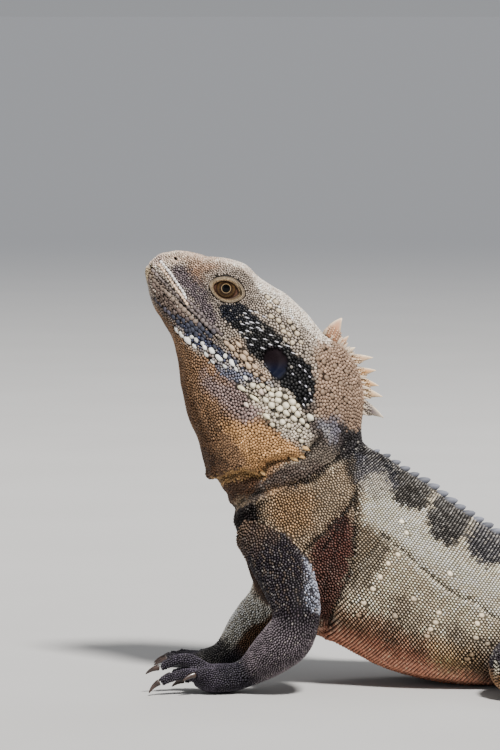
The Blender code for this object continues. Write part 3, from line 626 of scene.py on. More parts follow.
def patch(at, outline, soft):
    """1 inside a drawn outline and 0 outside it, with a soft edge."""
    line = np.array(outline, float)
    near = ((at > line.min(axis=0) - soft) & (at < line.max(axis=0) + soft)).all(axis=1)
    part = at[near]
    inside = np.zeros(len(part), bool)
    for a, b in zip(line, np.roll(line, -1, axis=0)):
        if a[1] != b[1]:
            crossed = a[0] + (part[:, 1] - a[1]) * (b[0] - a[0]) / (b[1] - a[1])
            inside ^= ((a[1] > part[:, 1]) != (b[1] > part[:, 1])) & (part[:, 0] < crossed)
    away = away_from(part, line, True) * np.where(inside, 1, -1)
    mask = np.zeros(len(at))
    mask[near] = eased(0.5 + away / (2 * soft))
    return mask


def waver(points, size, seed):
    """Smooth values from about -1 to 1 that wander over distances of the size."""
    dice = np.random.default_rng(seed)
    total = np.zeros(len(points))
    for turn in range(6):
        way = unit(dice.normal(size=3)) * 2 * math.pi / size * dice.uniform(0.6, 1.5)
        total += np.sin(points @ way + dice.uniform(0, 6.3))
    return np.clip(total / 2.6, -1, 1)


# %% Press the folds into the skin
# A fold is a drawn line, the depth of its groove and its half width in millimetres
FOLDS = {
    "below the jowl": (((318, 440), (301, 459), (285, 459), (268, 463), (260, 477), (243, 473),
                        (225, 478), (209, 484)), 1.6, 1.3),
    "before the shoulder": (((230, 517), (235, 506), (254, 493), (278, 486), (312, 480),
                             (333, 462), (350, 440)), 1.1, 1.2),
    "behind the shoulder": (((355, 491), (353, 530), (351, 563), (340, 590), (325, 630)), 1.2, 1.1),
    "along the flank": (((378, 531), (403, 549), (423, 569), (446, 587), (461, 596), (471, 597),
                         (487, 611), (520, 630)), 0.8, 0.8),
    "armpit": (((322, 548), (333, 531), (352, 500)), 0.8, 0.9),
    "chest": (((303, 549), (325, 529), (349, 503), (354, 490)), 0.9, 1.0),
    "below the shoulder": (((345, 520), (336, 545), (328, 572), (322, 592)), 0.4, 0.9),
    "oblique fold": (((381, 535), (369, 552), (358, 569), (349, 586)), 0.6, 1.0),
    "behind the jaw": (((205, 357), (235, 378), (262, 402), (290, 420)), 0.5, 1.0),
    "below the eye": (((205, 286), (207.5, 294), (212.5, 301.5), (220.5, 306.5)), 0.45, 0.35),
    "mouth": (((151, 267), (157.5, 273), (166.8, 284.8), (175.4, 296), (184, 304.8),
               (194.5, 315), (202.8, 324.4), (215, 336), (222, 344)), 0.8, 0.5)}
# The ear drum lies a little sunk in the dark stripe
EAR_DRUM = ((264, 352), (270, 348), (279, 349), (286, 357), (288, 366), (286, 376), (281, 380),
            (273, 377), (267, 368), (263, 360))
at = drawn(P)
for line, depth, half in FOLDS.values():
    away = away_from(at, line) * DRAWN_UNIT
    groove = np.exp(-(away / half) ** 2) - 0.35 * np.exp(-((away - 2.4 * half) / half) ** 2)
    P = P - (depth * groove * body_part)[:, None] * N
P = P - (0.7 * patch(at, EAR_DRUM, 2.0) * belongs("head"))[:, None] * N
ripple = waver(P, 7.0, 3) * 0.12 + waver(P, 3.5, 4) * 0.05
P = P + (ripple * body_part)[:, None] * N
P[:, 2] = np.maximum(P[:, 2], SCALE_DEPTH)
N = normals_of(P, F)
for turn in range(2):
    N = unit(spread(N, E, len(P)))
print(f"{len(FOLDS)} folds pressed in")

# %% Markings of the head and body
# Each marking is a colour as red, green and blue, a strength, a soft edge and an outline
MARKINGS = (
    ("crown and cheek", (166, 152, 138), 1, 6, ((130, 240), (230, 236), (310, 300), (340, 340),
     (330, 420), (300, 458), (262, 478), (205, 488), (150, 330))),
    ("neck", (150, 124, 104), 1, 5, ((318, 330), (400, 330), (400, 454), (345, 454), (330, 440),
     (312, 400), (314, 360))),
    ("front of the neck", (84, 58, 40), 1, 5, ((200, 480), (262, 470), (320, 462), (330, 480),
     (240, 530), (210, 530))),
    ("shoulder", (172, 149, 122), 1, 6, ((235, 500), (300, 478), (352, 455), (362, 500),
     (350, 560), (300, 560), (235, 545))),
    ("top of the head", (236, 222, 206), 1, 4, ((140, 266), (165, 240), (205, 240), (250, 262),
     (300, 300), (335, 325), (326, 346), (300, 330), (262, 300), (240, 280), (205, 270),
     (180, 268), (160, 272))),
    ("top of the snout", (176, 142, 114), 0.55, 7, ((144, 266), (154, 250), (186, 248),
                                                   (216, 260), (216, 272), (190, 264),
                                                   (166, 266))),
    ("warm snout", (152, 106, 72), 0.68, 10, ((186, 258), (226, 262), (226, 270), (207, 279),
     (198, 288), (188, 274))),
    ("warm brow", (164, 126, 94), 0.45, 4, ((226, 262), (244, 268), (256, 280), (248, 280),
     (232, 270))),
    ("tip of the upper jaw", (212, 188, 174), 0.9, 2, ((150, 262), (158, 254), (164, 258),
     (160, 267), (153, 268))),
    ("tip of the lower jaw", (206, 182, 144), 0.85, 2, ((143, 268), (151, 268), (156, 274),
     (154, 282), (146, 280))),
    ("side of the snout", (102, 90, 95), 0.95, 5, ((168, 269), (176, 266), (185, 268), (194, 278),
     (203, 287), (210, 295), (216, 306), (220, 318), (216, 335), (204, 322), (190, 300),
     (178, 284))),
    ("around the eye", (148, 134, 122), 0.8, 4, ((205, 276), (228, 268), (250, 276), (258, 292),
     (250, 306), (226, 310), (208, 300))),
    ("jaw plates", (92, 78, 70), 0.95, 3, ((150, 270), (156, 272), (172, 300), (187, 312),
     (202, 325), (214, 338), (222, 346), (205, 346), (190, 336), (176, 328), (165, 312),
     (155, 292))),
    ("spots of the mouth's corner", (20, 18, 20), 0.95, 1, ((201, 316), (206, 316), (208, 324),
     (210, 331), (218, 334), (216, 339), (208, 334), (202, 328), (200.5, 321))),
    ("blue of the jaw", (38, 46, 76), 0.95, 2.5, ((170, 316), (190, 329), (212, 343),
     (238, 360), (242, 370), (232, 367), (205, 352), (185, 338))),
    ("blue behind the jaw", (98, 106, 130), 0.85, 3, ((203, 356), (225, 367), (250, 375),
     (275, 383), (283, 392), (262, 389), (240, 385), (220, 379), (207, 369))),
    ("cheek", (170, 144, 120), 0.85, 3, ((226, 340), (240, 340), (252, 355), (259, 366),
     (272, 380), (262, 381), (245, 371), (232, 357))),
    ("throat", (146, 112, 82), 1, 4, ((140, 290), (160, 310), (178, 334), (205, 358), (238, 384),
     (262, 410), (290, 440), (302, 457), (262, 476), (205, 488), (190, 440), (160, 350))),
    # The throat's front edge: browner in its own colour, and darker as painted shade
    ("edge of the throat", (82, 54, 32), 0.8, 7, ((160, 300), (178, 345), (194, 400),
     (212, 440), (222, 478), (206, 490), (180, 440), (160, 350))),
    ("middle of the throat", (146, 126, 124), 0.85, 6, ((203, 371), (240, 386), (264, 410),
     (250, 425), (225, 410), (206, 390))),
    ("gold of the throat", (208, 158, 105), 0.85, 5, ((224, 420), (262, 424), (290, 440),
     (302, 457), (285, 459), (268, 463), (262, 475), (250, 469), (238, 450))),
    ("dark of the throat", (68, 46, 30), 0.7, 5, ((196, 448), (226, 456), (240, 466),
     (224, 474), (208, 476))),
    ("jowl", (206, 192, 172), 0.9, 4, ((238, 383), (262, 383), (290, 388), (302, 404),
     (312, 420), (308, 440), (290, 436), (268, 418), (252, 404))),
    ("ruffle", (194, 152, 98), 0.9, 2, ((207, 482), (218, 475), (240, 468), (262, 472),
     (262, 480), (243, 478), (226, 483), (211, 489))),
    ("blue of the neck", (88, 96, 116), 0.75, 6, ((308, 425), (333, 416), (345, 430),
     (336, 450), (318, 442))),
    # Dark behind the jowl: partly its own colour, partly the jowl's painted shadow
    ("behind the jowl", (76, 65, 59), 0.92, 3, ((302, 404), (316, 398), (316, 415), (322, 436),
     (338, 446), (352, 432), (364, 430), (368, 446), (352, 454), (330, 464), (300, 484),
     (262, 496), (244, 500), (262, 479), (285, 466), (301, 459), (312, 442))),
    ("nape", (24, 22, 26), 0.9, 3, ((340, 425), (362, 430), (388, 447), (402, 470), (388, 474),
     (372, 458), (356, 462), (344, 448))),
    ("gold of the shoulder", (172, 131, 88), 0.7, 9, ((268, 490), (300, 486), (316, 500),
     (310, 525), (290, 540), (270, 515))),
    ("maroon of the chest", (20, 8, 8), 1, 7, ((226, 516), (255, 494), (263, 505),
     (263, 530), (252, 546), (238, 562), (232, 540))),
    ("breast", (52, 32, 20), 1, 9, ((225, 545), (262, 545), (300, 585), (325, 640),
     (280, 680), (230, 600))),
    ("armpit", (92, 54, 47), 0.97, 6, ((306, 550), (345, 503), (353, 530), (352, 565),
     (341, 600), (325, 634), (312, 610))),
    ("flank below the fold", (222, 202, 172), 0.8, 5, ((360, 525), (392, 548), (440, 590),
     (485, 616), (560, 655), (560, 690), (345, 680), (335, 600), (352, 560))),
    ("low flank", (142, 98, 70), 0.85, 10, ((335, 602), (372, 612), (420, 632), (470, 650),
     (560, 668), (560, 720), (330, 720))),
    ("belly", (214, 146, 118), 0.92, 9, ((322, 622), (372, 632), (420, 650), (450, 668),
     (520, 680), (600, 684), (600, 740), (310, 740))),
    ("gold of the belly", (236, 196, 142), 0.6, 9, ((425, 640), (470, 640), (480, 664),
     (440, 668))),
    ("shade before the flank", (112, 92, 68), 0.8, 5, ((353, 521), (372, 526), (381, 534),
     (368, 553), (357, 570), (350, 580), (353, 550))),
    ("dark rows below the fold", (88, 76, 62), 0.75, 4, ((383, 537), (392, 545), (384, 560),
     (372, 576), (360, 592), (352, 590), (362, 571), (372, 556))),
    ("front bar of the belly", (92, 74, 60), 0.6, 7, ((384, 596), (404, 590), (412, 600),
     (402, 622), (396, 640), (386, 634))),
    ("rear bar of the belly", (84, 70, 60), 0.65, 8, ((436, 624), (456, 618), (470, 634),
     (500, 630), (545, 650), (560, 690), (500, 690), (462, 664))),
    ("middle bar of the belly", (110, 92, 72), 0.5, 7, ((410, 610), (428, 606), (424, 630),
     (414, 642), (404, 636))),
    ("cream above the fold", (255, 244, 216), 0.95, 6, ((370, 478), (386, 486), (398, 504),
     (430, 540), (470, 570), (520, 590), (520, 606), (470, 584), (420, 556), (382, 526),
     (364, 508))),
    ("mottled nape", (38, 34, 36), 0.85, 3, ((340, 425), (362, 430), (394, 444), (397, 462),
     (388, 474), (372, 472), (354, 486), (344, 470), (336, 450))),
    ("first saddle", (10, 12, 22), 0.95, 3, ((394, 446), (438, 474), (432, 492), (424, 507),
     (414, 510), (396, 501), (385, 480), (387, 464))),
    ("second saddle", (13, 16, 28), 0.95, 3, ((442, 476), (478, 500), (470, 520), (461, 537),
     (446, 547), (429, 533), (424, 514), (431, 498))),
    ("third saddle", (32, 35, 50), 0.95, 3, ((482, 504), (516, 528), (508, 560), (486, 568),
     (470, 558), (461, 546), (469, 526))),
    ("grey shade of the neck's back", (96, 96, 108), 0.55, 5, ((352, 452), (378, 462),
     (398, 486), (376, 500), (358, 486))))


def tinted(colour, share, tint, strength=1.0):
    """Colours moved towards a tint in linear light, by a share for each point."""
    return colour + strength * share[:, None] * (tint - colour)


def painted(at, base):
    """Colours of places on the drawing, one marking laid over the other."""
    colour = np.tile(linear(*base), (len(at), 1))
    for _, tint, strength, soft, outline in MARKINGS:
        colour = tinted(colour, patch(at, outline, soft), linear(*tint), strength)
    return colour


# The dark stripe from the eye over the ear to the jowl
STRIPE = ((219, 307), (232, 304), (244, 305), (251, 315), (267, 325), (279, 335), (291, 348),
          (294, 354), (303, 358), (310, 367), (314, 378), (315, 392), (311, 404), (304, 409),
          (297, 402), (291, 394), (282, 388), (273, 379), (266, 370), (263, 363), (255, 358),
          (248, 351), (244, 340), (238, 333), (230, 327), (222, 320))
# Creases darkened with painted shade in their grooves: a line, its half width on the drawing and
# its strength
SHADED_CREASES = (("along the flank", 1.5, 0.8), ("behind the shoulder", 2.4, 0.85),
           ("before the shoulder", 2.0, 0.6), ("below the jowl", 2.4, 0.75), ("armpit", 2.0, 0.8),
           ("chest", 2.2, 0.85), ("below the shoulder", 1.6, 0.5), ("oblique fold", 3.2, 0.62),
           ("behind the jaw", 1.0, 0.3), ("mouth", 1.3, 0.8), ("below the eye", 1.0, 0.7))


# The sunlit flank: its cream scales are the palest of the body, and the rest of the body is painted
# darker than it, as painted sunlight on the flank
SUNLIT_FLANK = ((366, 474), (400, 470), (640, 560), (640, 740), (330, 740), (322, 620), (356, 560),
         (360, 500))


def body_tones(points, jitter):
    """Colours of head, neck and torso, with painted shade in the creases and painted sunlight on
    the flank.
    """
    drift = np.column_stack((waver(points, 9, 21), waver(points, 9, 22)))
    at = drawn(points) + 2.2 * drift + jitter
    colour = painted(at, (244, 228, 200))
    exact = drawn(points) + 0.7 * drift + 0.6 * jitter
    ink = np.where((exact[:, 1] < 322)[:, None], linear(12, 15, 27), linear(8, 8, 11))
    colour = tinted(colour, patch(exact, STRIPE, 1.6), ink)
    drum = tinted(linear(42, 31, 36), eased((exact[:, 1] - 358) / 14), linear(27, 33, 58))
    colour = tinted(colour, patch(exact, EAR_DRUM, 1.5), drum, 0.9)
    # Painted shade in the grooves of the folds
    for name, half, strength in SHADED_CREASES:
        dark = strength * np.exp(-(away_from(exact, FOLDS[name][0]) / half) ** 2)
        colour *= (1 - dark)[:, None]
    back, high = on_head(points)
    streak = np.sin(high * 4.2 + 1.6 * drift[:, 0] + back * 0.25)
    streak = streak * patch(at, ((164, 266), (190, 264), (212, 282), (222, 310), (216, 338),
                                 (190, 302)), 8)
    colour *= (1 + 0.32 * streak)[:, None]
    behind = eased((at[:, 0] - 500) / 12)
    place, angle, _, _ = on_trunk(points)
    saddle = eased(1.6 * np.sin(2 * math.pi * (place - 158) / 14.5) + 0.2 + 0.5 * drift[:, 0])
    saddle = saddle * eased((0.95 - np.abs(angle)) * 3.0) * behind
    colour = tinted(colour, saddle, linear(34, 32, 37), 0.9)
    under = eased((np.abs(angle) - 2.45) / 0.5) * eased((at[:, 1] - 600) / 40)
    colour = tinted(colour, under, linear(158, 96, 70), 0.7)
    under = eased((np.abs(angle) - 1.75 + 0.15 * drift[:, 1]) / 0.6) * behind
    colour = tinted(colour, under, linear(178, 132, 94), 0.7)
    mottle = eased(waver(points, 2.0, 23) * 1.4) * eased((340 - at[:, 1]) / 12)
    mottle = mottle * (1 - patch(exact, STRIPE, 3.0))
    colour *= (1 - 0.30 * mottle)[:, None]
    # Painted sunlight: the body outside the flank is darkened to 0.84, the flank is lifted up to
    # 1.08 in patches
    sunlit_share = patch(at, SUNLIT_FLANK, 8)
    lumps = eased(waver(points, 1.6, 24) * 1.3)
    return colour * (0.84 + (0.24 - 0.20 * lumps) * sunlit_share)[:, None]


# %% Markings of tail and legs
# The pale patch behind the elbow, on the side view
ELBOW = ((301, 553), (307, 552), (316, 566), (322, 582), (323, 600), (318, 609), (305, 606),
         (303, 590), (304, 572))


def tail_tones(points):
    """Dark and tan bands along the tail, dark at its tip."""
    place, angle, _, _ = along_line(points, TAIL_LINE)
    share = place / TAIL_LENGTH
    edge = place + 3.0 * waver(points, 18, 31) + 2.5 * np.abs(angle)
    band = eased(1.5 * np.sin(2 * math.pi * (edge - 14) / 44) + 0.45)
    colour = tinted(linear(206, 192, 164), eased(place / 110), linear(158, 142, 116))
    colour = tinted(colour, band, linear(50, 46, 46))
    low = eased((np.abs(angle) - 1.9) / 0.6) * eased(1.2 - share * 2)
    colour = tinted(colour, low, linear(164, 118, 82), 0.7)
    return tinted(colour, eased((share - 0.6) / 0.4), linear(52, 46, 44), 0.6)


def limb_tones(points, limb):
    """Dark arms and spotted legs, paler behind the elbow and on the inner sides, and the right
    arm's front painted as pale, sunlit cream.
    """
    line, numbers = LIMB_LINES[limb]
    side = -1 if limb.endswith("left") else 1
    _, angle, _, nearest = along_line(points, line)
    corner = numbers[nearest]
    drift = waver(points, 8, 41)
    colour = np.tile(linear(38, 31, 38), (len(points), 1))
    if limb.startswith("arm"):
        flecks = eased(waver(points, 2.4, 42) * 2.4 - 0.9)
        flecks = flecks * eased((1.1 - corner) * 4)
        colour = tinted(colour, flecks, linear(168, 146, 118), 0.14)
        inner = eased((0.1 - (points[:, 1] * side - line[nearest, 1] * side) / 3) + 0.3 * drift)
        inner = inner * eased((2.0 - corner) * 3)
        colour = tinted(colour, inner, linear(124, 92, 66), 0.7)
        top = eased((0.36 - corner) * 3 + 0.3 * drift)
        colour = tinted(colour, top, linear(108, 87, 70), 0.8)
        elbow = patch(drawn(points * (1, -side, 1)) + 1.5 * drift[:, None], ELBOW, 2.5)
        elbow = elbow * (points[:, 1] * side > line[nearest, 1] * side - 4)
        elbow = elbow * (0.06 + 0.94 * eased(0.65 + 1.8 * waver(points, 1.5, 45)))
        colour = tinted(colour, elbow, linear(156, 160, 176), 0.95)
        fore = eased((corner - 0.98) * 3) * (1 - inner) * (1 - elbow)
        colour = tinted(colour, fore, linear(110, 99, 105), 0.9)
        # Checkered cream scales on the right arm's front, painted near white as sunlight, which
        # only this arm gets
        if side > 0:
            front = eased((line[nearest, 0] - points[:, 0] + 0.8) / 2) * eased((corner - 0.7) * 4)
            check = np.where(waver(points, 2.4, 44) > -0.5, 1.0, 0.45)[:, None]
            colour = tinted(colour, front, linear(255, 248, 232) * check, 0.9)
        hand = eased((corner - 1.72) * 4)
        colour = tinted(colour, hand, linear(32, 30, 41), 0.9)
        fingers = eased((corner - 2.45) * 3)
        colour = tinted(colour, fingers, linear(66, 60, 70), 0.8)
    else:
        spots = eased(waver(points, 5.5, 43) * 2.2 - 0.9)
        colour = tinted(colour, spots, linear(206, 198, 176), 0.85)
        under = eased((0.25 - np.cos(angle)) * 2)
        colour = tinted(colour, under, linear(164, 124, 86), 0.75)
        foot = eased((corner - 1.8) * 4)
        colour = tinted(colour, foot, linear(56, 54, 58), 0.6)
        root = eased((corner - 0.06) / 0.30 + 0.40 * waver(points, 3.2, 46))[:, None]
        colour = body_tones(points, 0.0) * (1 - root) + colour * root
    return colour


PART_NAMES = np.array(flesh)


def sorted_parts(part):
    """The tail, each limb and the body, with the points that belong to them, if any do."""
    names = PART_NAMES[part]
    groups = {"tail": np.char.startswith(names, "tail")}
    for limb, nodes in LIMB_NODES.items():
        groups[limb] = np.isin(names, nodes)
    groups["body"] = ~np.any(list(groups.values()), axis=0)
    return [(which, mine) for which, mine in groups.items() if mine.any()]


def tones(points, part, jitter=0.0):
    """Colours of points by the node that each belongs to."""
    colour = np.zeros((len(points), 3))
    jitter = np.broadcast_to(jitter, (len(points), 2))
    for which, mine in sorted_parts(part):
        if which == "tail":
            colour[mine] = tail_tones(points[mine])
        elif which == "body":
            colour[mine] = body_tones(points[mine], jitter[mine])
        else:
            colour[mine] = limb_tones(points[mine], which)
    shade = 1 + 0.10 * waver(points, 4.5, 51) + 0.07 * waver(points, 1.9, 52)
    return colour * shade[:, None]


skin_tone = tones(P, owner)
print("mean colour of the skin in linear light:", skin_tone.mean(axis=0).round(3))

# %% [markdown]
# ## Roots of the scales
# Particles or instances would need an emitter and can't be handed on as solid mesh. Here
# roots are worked out first. On torso and tail they follow hoops of even spacing round
# the guide, every other hoop shifted by half a scale. On head, neck, breast and limbs
# random spots push each other apart until they lie as evenly as real granules.

# %% Trees for finding places on the skin
skin_tree = BVHTree.FromPolygons([tuple(p) for p in P], [tuple(t) for t in F])
FACE_NORMAL = unit(N[F].sum(axis=1))
# Lines of sight start so many millimetres to the left of the animal's middle
WELL_OUTSIDE = 100


def on_skin(points):
    """Nearest places on the skin and the numbers of their triangles."""
    found = [skin_tree.find_nearest(Vector(p)) for p in points]
    return (np.array([tuple(f[0]) for f in found]), np.array([f[2] for f in found]))


def seen_at(places):
    """Where lines of sight through places on the drawing meet the animal's left side."""
    hits = []
    for across, down in places:
        height = (DOWN_ZERO - down) * DRAWN_UNIT - BELOW_FLOOR
        start = Vector(((across - ACROSS_ZERO) * DRAWN_UNIT, -WELL_OUTSIDE,
                        (height + WELL_OUTSIDE * math.sin(LOOK_DOWN)) / math.cos(LOOK_DOWN)))
        hit = skin_tree.ray_cast(start, aim)
        hits.append(None if hit[0] is None else tuple(hit[0]))
    return hits


def tree_of(spots):
    """A tree that finds the nearest ones of many spots."""
    tree = KDTree(len(spots))
    for n, spot in enumerate(spots):
        tree.insert(spot, n)
    tree.balance()
    return tree


# %% Rows round a guide
# The crossings of one row with the mesh's edges lie closer together than this
NEXT_TO = 1.6


def in_rows(mask, number, side, spacing):
    """Roots on the whole-number lines of a field, evenly spaced from the ridge downwards."""
    a, b = E[mask[E[:, 0]] & mask[E[:, 1]]].T
    low, high = np.minimum(number[a], number[b]), np.maximum(number[a], number[b])
    row = np.floor(high)
    good = (row > low) & (high - low < 3) & (side[a] * side[b] > 0)
    good &= np.abs(side[a] - side[b]) < 1.0
    a, b, row = a[good], b[good], row[good]
    t = ((row - number[a]) / (number[b] - number[a]))[:, None]
    where = P[a] + t * (P[b] - P[a])
    turn = np.abs(side[a] + t[:, 0] * (side[b] - side[a]))
    flank = side[a] > 0
    order = np.lexsort((turn, flank, row))
    where, row, flank, a = where[order], row[order], flank[order], a[order]
    step = np.linalg.norm(np.diff(where, axis=0), axis=1)
    same = (row[1:] == row[:-1]) & (flank[1:] == flank[:-1])
    reach = np.concatenate(([0], np.cumsum(np.where(same, step, 0.0))))
    firsts = np.concatenate(([True], ~same))
    reach = reach - reach[firsts][np.cumsum(firsts) - 1]
    count = reach / spacing[a] + np.where(row % 2 == 0, 0.5, np.where(flank, 0.98, 0.0))
    jump = same & (step < NEXT_TO) & (np.floor(count[1:]) > np.floor(count[:-1]))
    left = np.flatnonzero(jump)
    t = ((np.floor(count[left + 1]) - count[left])
         / np.maximum(count[left + 1] - count[left], 1e-6))[:, None]
    return where[left] + np.clip(t, 0, 1) * (where[left + 1] - where[left])


def row_numbers(pitches, length, at):
    """A number that grows by one for each row, and the pitch, from places and pitches."""
    grid = np.arange(0, length, 0.5)
    total = np.concatenate(([0], np.cumsum(0.5 / through(pitches, grid)[:, 0])[:-1]))
    return np.interp(at, grid, total), through(pitches, at)[:, 0]


# %% Even random spots
# Tries for each root, and the shares of the spacing that a first root keeps free, that
# roots push each other apart to, and that one push makes up
TRIES = 14
FREE_SHARE = 0.76
WANTED_SHARE = 1.06
PUSH = 0.42


def evenly(mask, spacing_at, seed, rounds=4):
    """Roots scattered over part of the skin, pushed apart until they lie evenly."""
    dice = np.random.default_rng(seed)
    faces = F[mask[F].all(axis=1)]
    a, b, c = (P[faces[:, n]] for n in range(3))
    area = np.linalg.norm(np.cross(b - a, c - a), axis=1) / 2
    share = np.cumsum(area / spacing_at((a + b + c) / 3) ** 2)
    tries = int(share[-1] * TRIES)
    picked = np.searchsorted(share, dice.random(tries) * share[-1])
    r, s = np.sqrt(dice.random(tries))[:, None], dice.random(tries)[:, None]
    spots = (1 - r) * a[picked] + r * (1 - s) * b[picked] + r * s * c[picked]
    tree = tree_of(spots)
    free = np.ones(tries, bool)
    reach = spacing_at(spots) * FREE_SHARE
    kept = []
    for n in range(tries):
        if free[n]:
            kept.append(n)
            for _, other, _ in tree.find_range(spots[n], reach[n]):
                free[other] = False
    spots = spots[kept]
    for turn in range(rounds):
        tree = tree_of(spots)
        near = np.array([[other for _, other, _ in tree.find_n(spot, 7)] for spot in spots])
        gap = spots[:, None] - spots[near]
        far = np.linalg.norm(gap, axis=2)
        want = spacing_at(spots)[:, None] * WANTED_SHARE
        push = np.clip(want - far, 0, None) * PUSH * (far > 1e-6)
        spots = spots + (gap / np.maximum(far, 1e-6)[..., None] * push[..., None]).sum(axis=1)
        spots, _ = on_skin(spots)
    return spots


def neighbour_gap(spots):
    """The mean distance from each root to its four nearest ones."""
    tree = tree_of(spots)
    return np.array([sum(d for _, _, d in tree.find_n(spot, 5)) / 4 for spot in spots])


# %% Roots of every region
LID_TILT = math.radians(27)
# A nostril lies so far behind the snout and above it
NOSTRIL = (4.1, 8.7)


def eye_gap(points):
    """How far points are from the lids' middle, as a share of the lids' outline."""
    back, high = on_head(points)
    back, high = back - EYE_BACK, high - EYE_UP
    wide = back * math.cos(LID_TILT) + high * math.sin(LID_TILT) - 0.5
    tall = high * math.cos(LID_TILT) - back * math.sin(LID_TILT) + 0.25
    return np.hypot(wide / 6.8, tall / 4.95) + 10 * (np.abs(points[:, 1]) < 6.0)


def nostril_gap(points):
    """How far points are from the nearer nostril, in millimetres."""
    back, high = on_head(points)
    away = np.hypot(back - NOSTRIL[0], (high - NOSTRIL[1]) * 1.3)
    return away + 10 * (np.abs(points[:, 1]) < 1.5)


def head_spacing(points):
    """Small granules on snout and lids, larger ones on the jowl."""
    back, high = on_head(points)
    base = np.interp(back, (0, 12, 30, 60), (0.76, 0.82, 0.92, 1.08))
    base = base * np.interp(eye_gap(points), (1.3, 2.0), (0.78, 1.0))
    return base * (1 + 0.10 * waver(points, 9, 61)) * np.where(high < -6, 1.04, 1.0)


def neck_spacing(points):
    """Larger tiles on the nape than on throat and shoulder."""
    return np.interp(points[:, 2], (82, 96), (0.96, 1.22)) * (1 + 0.06 * waver(points, 7, 62))


def arm_spacing(points):
    """Large keeled scales on the upper arm and small ones below the elbow."""
    return np.interp(points[:, 2], (16, 28), (0.84, 1.08)) * (1 + 0.05 * waver(points, 6, 64))


torso_mask = belongs("torso")
roots = {"coat_head": evenly(belongs("head"), head_spacing, 11),
         "coat_neck": evenly(belongs("neck"), neck_spacing, 12),
         "coat_hands": evenly(belongs("hand"), lambda p: np.full(len(p), 0.80), 13, 3),
         "coat_feet": evenly(belongs("foot"), lambda p: np.full(len(p), 1.05), 14, 3)}
number, pitch = row_numbers(((0, 1.06), (120, 1.08), (180, 1.15), (270, 1.2)), 300, place)
at = drawn(P)
# How far back on the drawing the fold behind the shoulder lies, by the height
fold_x = np.interp(at[:, 1], (470, 491, 530, 563, 590, 630, 700),
                   (362, 355, 353, 351, 340, 325, 312))
front = torso_mask & (at[:, 0] < fold_x + 2.0)
torso_roots = in_rows(torso_mask & (at[:, 0] > fold_x), number, angle, pitch * 0.90)
roots["coat_breast"] = evenly(front, lambda p: 0.98 + 0.04 * waver(p, 7, 63), 15, 3)
roots["coat_torso_left"] = torso_roots[torso_roots[:, 1] < 0]
roots["coat_torso_right"] = torso_roots[torso_roots[:, 1] >= 0]
number, pitch = row_numbers(((0, 1.25), (60, 1.5), (160, 1.95), (300, 2.1), (450, 1.9),
                             (580, 1.2)), 620, place)
roots["coat_tail"] = in_rows(tail_part, number + 0.6, angle, pitch * 0.92)
roots["coat_arms"] = evenly(belongs("upper_arm", "forearm"), arm_spacing, 16)
roots["coat_legs"] = evenly(belongs("thigh", "shin"),
                            lambda p: 1.10 + 0.08 * waver(p, 6, 65), 17, 3)
print("roots:", {name: len(spots) for name, spots in roots.items()})

# %% [markdown]
# ## Single scales and the coat
# A scale that is repeated tens of thousands of times can have only a dozen or two faces.
# Three common forms cover the body: a keeled scale, a flat-topped granule for the head and a tile
# for the neck. Five rarer ones are for jaws, jowl, stripe and single knobs. Each is a small table
# of points with a painted shade, dark at its foot for the shadow between scales and light at its
# keel for a painted highlight, and copies of it are joined into solid mesh.

# %% Forms of a scale
# Points are along, across, up and a painted shade: dark at the foot for the shadow between scales,
# above 1 at the keel for a painted highlight. Faces are triples, seen from outside.
KEELED = (((-.50, 0, -.35, .10), (-.22, -.46, -.35, .10), (.25, -.44, -.35, .10),
           (.62, 0, -.10, .45), (.25, .44, -.35, .10), (-.22, .46, -.35, .10),
           (-.15, 0, .75, 1.0), (.35, 0, 1.0, 1.42)),
          ((0, 1, 6), (1, 2, 7), (1, 7, 6), (2, 3, 7), (3, 4, 7), (4, 5, 7), (5, 6, 7),
           (5, 0, 6), (0, 5, 1), (1, 5, 4), (1, 4, 2), (2, 4, 3)))


def ringed(sides, rings, peak):
    """A closed form of rings, each as radius, height, shift along and shade, and a peak."""
    points = [(shift + radius * math.cos(2 * math.pi * k / sides),
               radius * math.sin(2 * math.pi * k / sides), high, shade)
              for radius, high, shift, shade in rings for k in range(sides)]
    points.append(peak)
    faces = []
    for ring in range(len(rings) - 1):
        for k in range(sides):
            a, b = ring * sides + k, ring * sides + (k + 1) % sides
            faces += [(a, b, b + sides), (a, b + sides, a + sides)]
    last = (len(rings) - 1) * sides
    faces += [(last + k, last + (k + 1) % sides, last + sides) for k in range(sides)]
    faces += [(0, k + 1, k) for k in range(1, sides - 1)]
    return tuple(points), tuple(faces)


HEXAGON = ringed(6, ((.50, -.30, 0, .12),), (0, 0, 0, 0))[0][:6]
GRANULE = (HEXAGON + ((-.27, -.26, .80, 1.12), (.33, 0, .90, 1.36), (-.27, .26, .80, 1.12)),
           ((0, 1, 7), (1, 2, 8), (1, 8, 7), (2, 3, 8), (3, 4, 6), (3, 6, 8), (4, 5, 6),
            (5, 0, 7), (5, 7, 6), (6, 7, 8), (0, 2, 1), (0, 3, 2), (0, 4, 3), (0, 5, 4)))
DOME = ringed(9, ((.52, -.35, 0, .22), (.47, .35, 0, .80), (.28, .85, .04, 1.12)),
              (.08, 0, 1.0, 1.2))
PLATE = ringed(10, ((.52, -.35, 0, .22), (.48, .40, 0, .80), (.33, .80, .02, 1.10)),
               (.04, 0, .92, 1.12))
TILE = ringed(6, ((.56, -.35, 0, .08), (.41, .80, 0, 1.04)), (.03, 0, 1.0, 1.18))
FLAT = ringed(8, ((.52, -.35, 0, .62), (.485, .55, 0, .93)), (.03, 0, 1.0, 1.03))
ROSETTE = ringed(10, ((.52, -.35, 0, .20), (.47, .75, 0, .95)), (.03, 0, 1.0, 1.10))
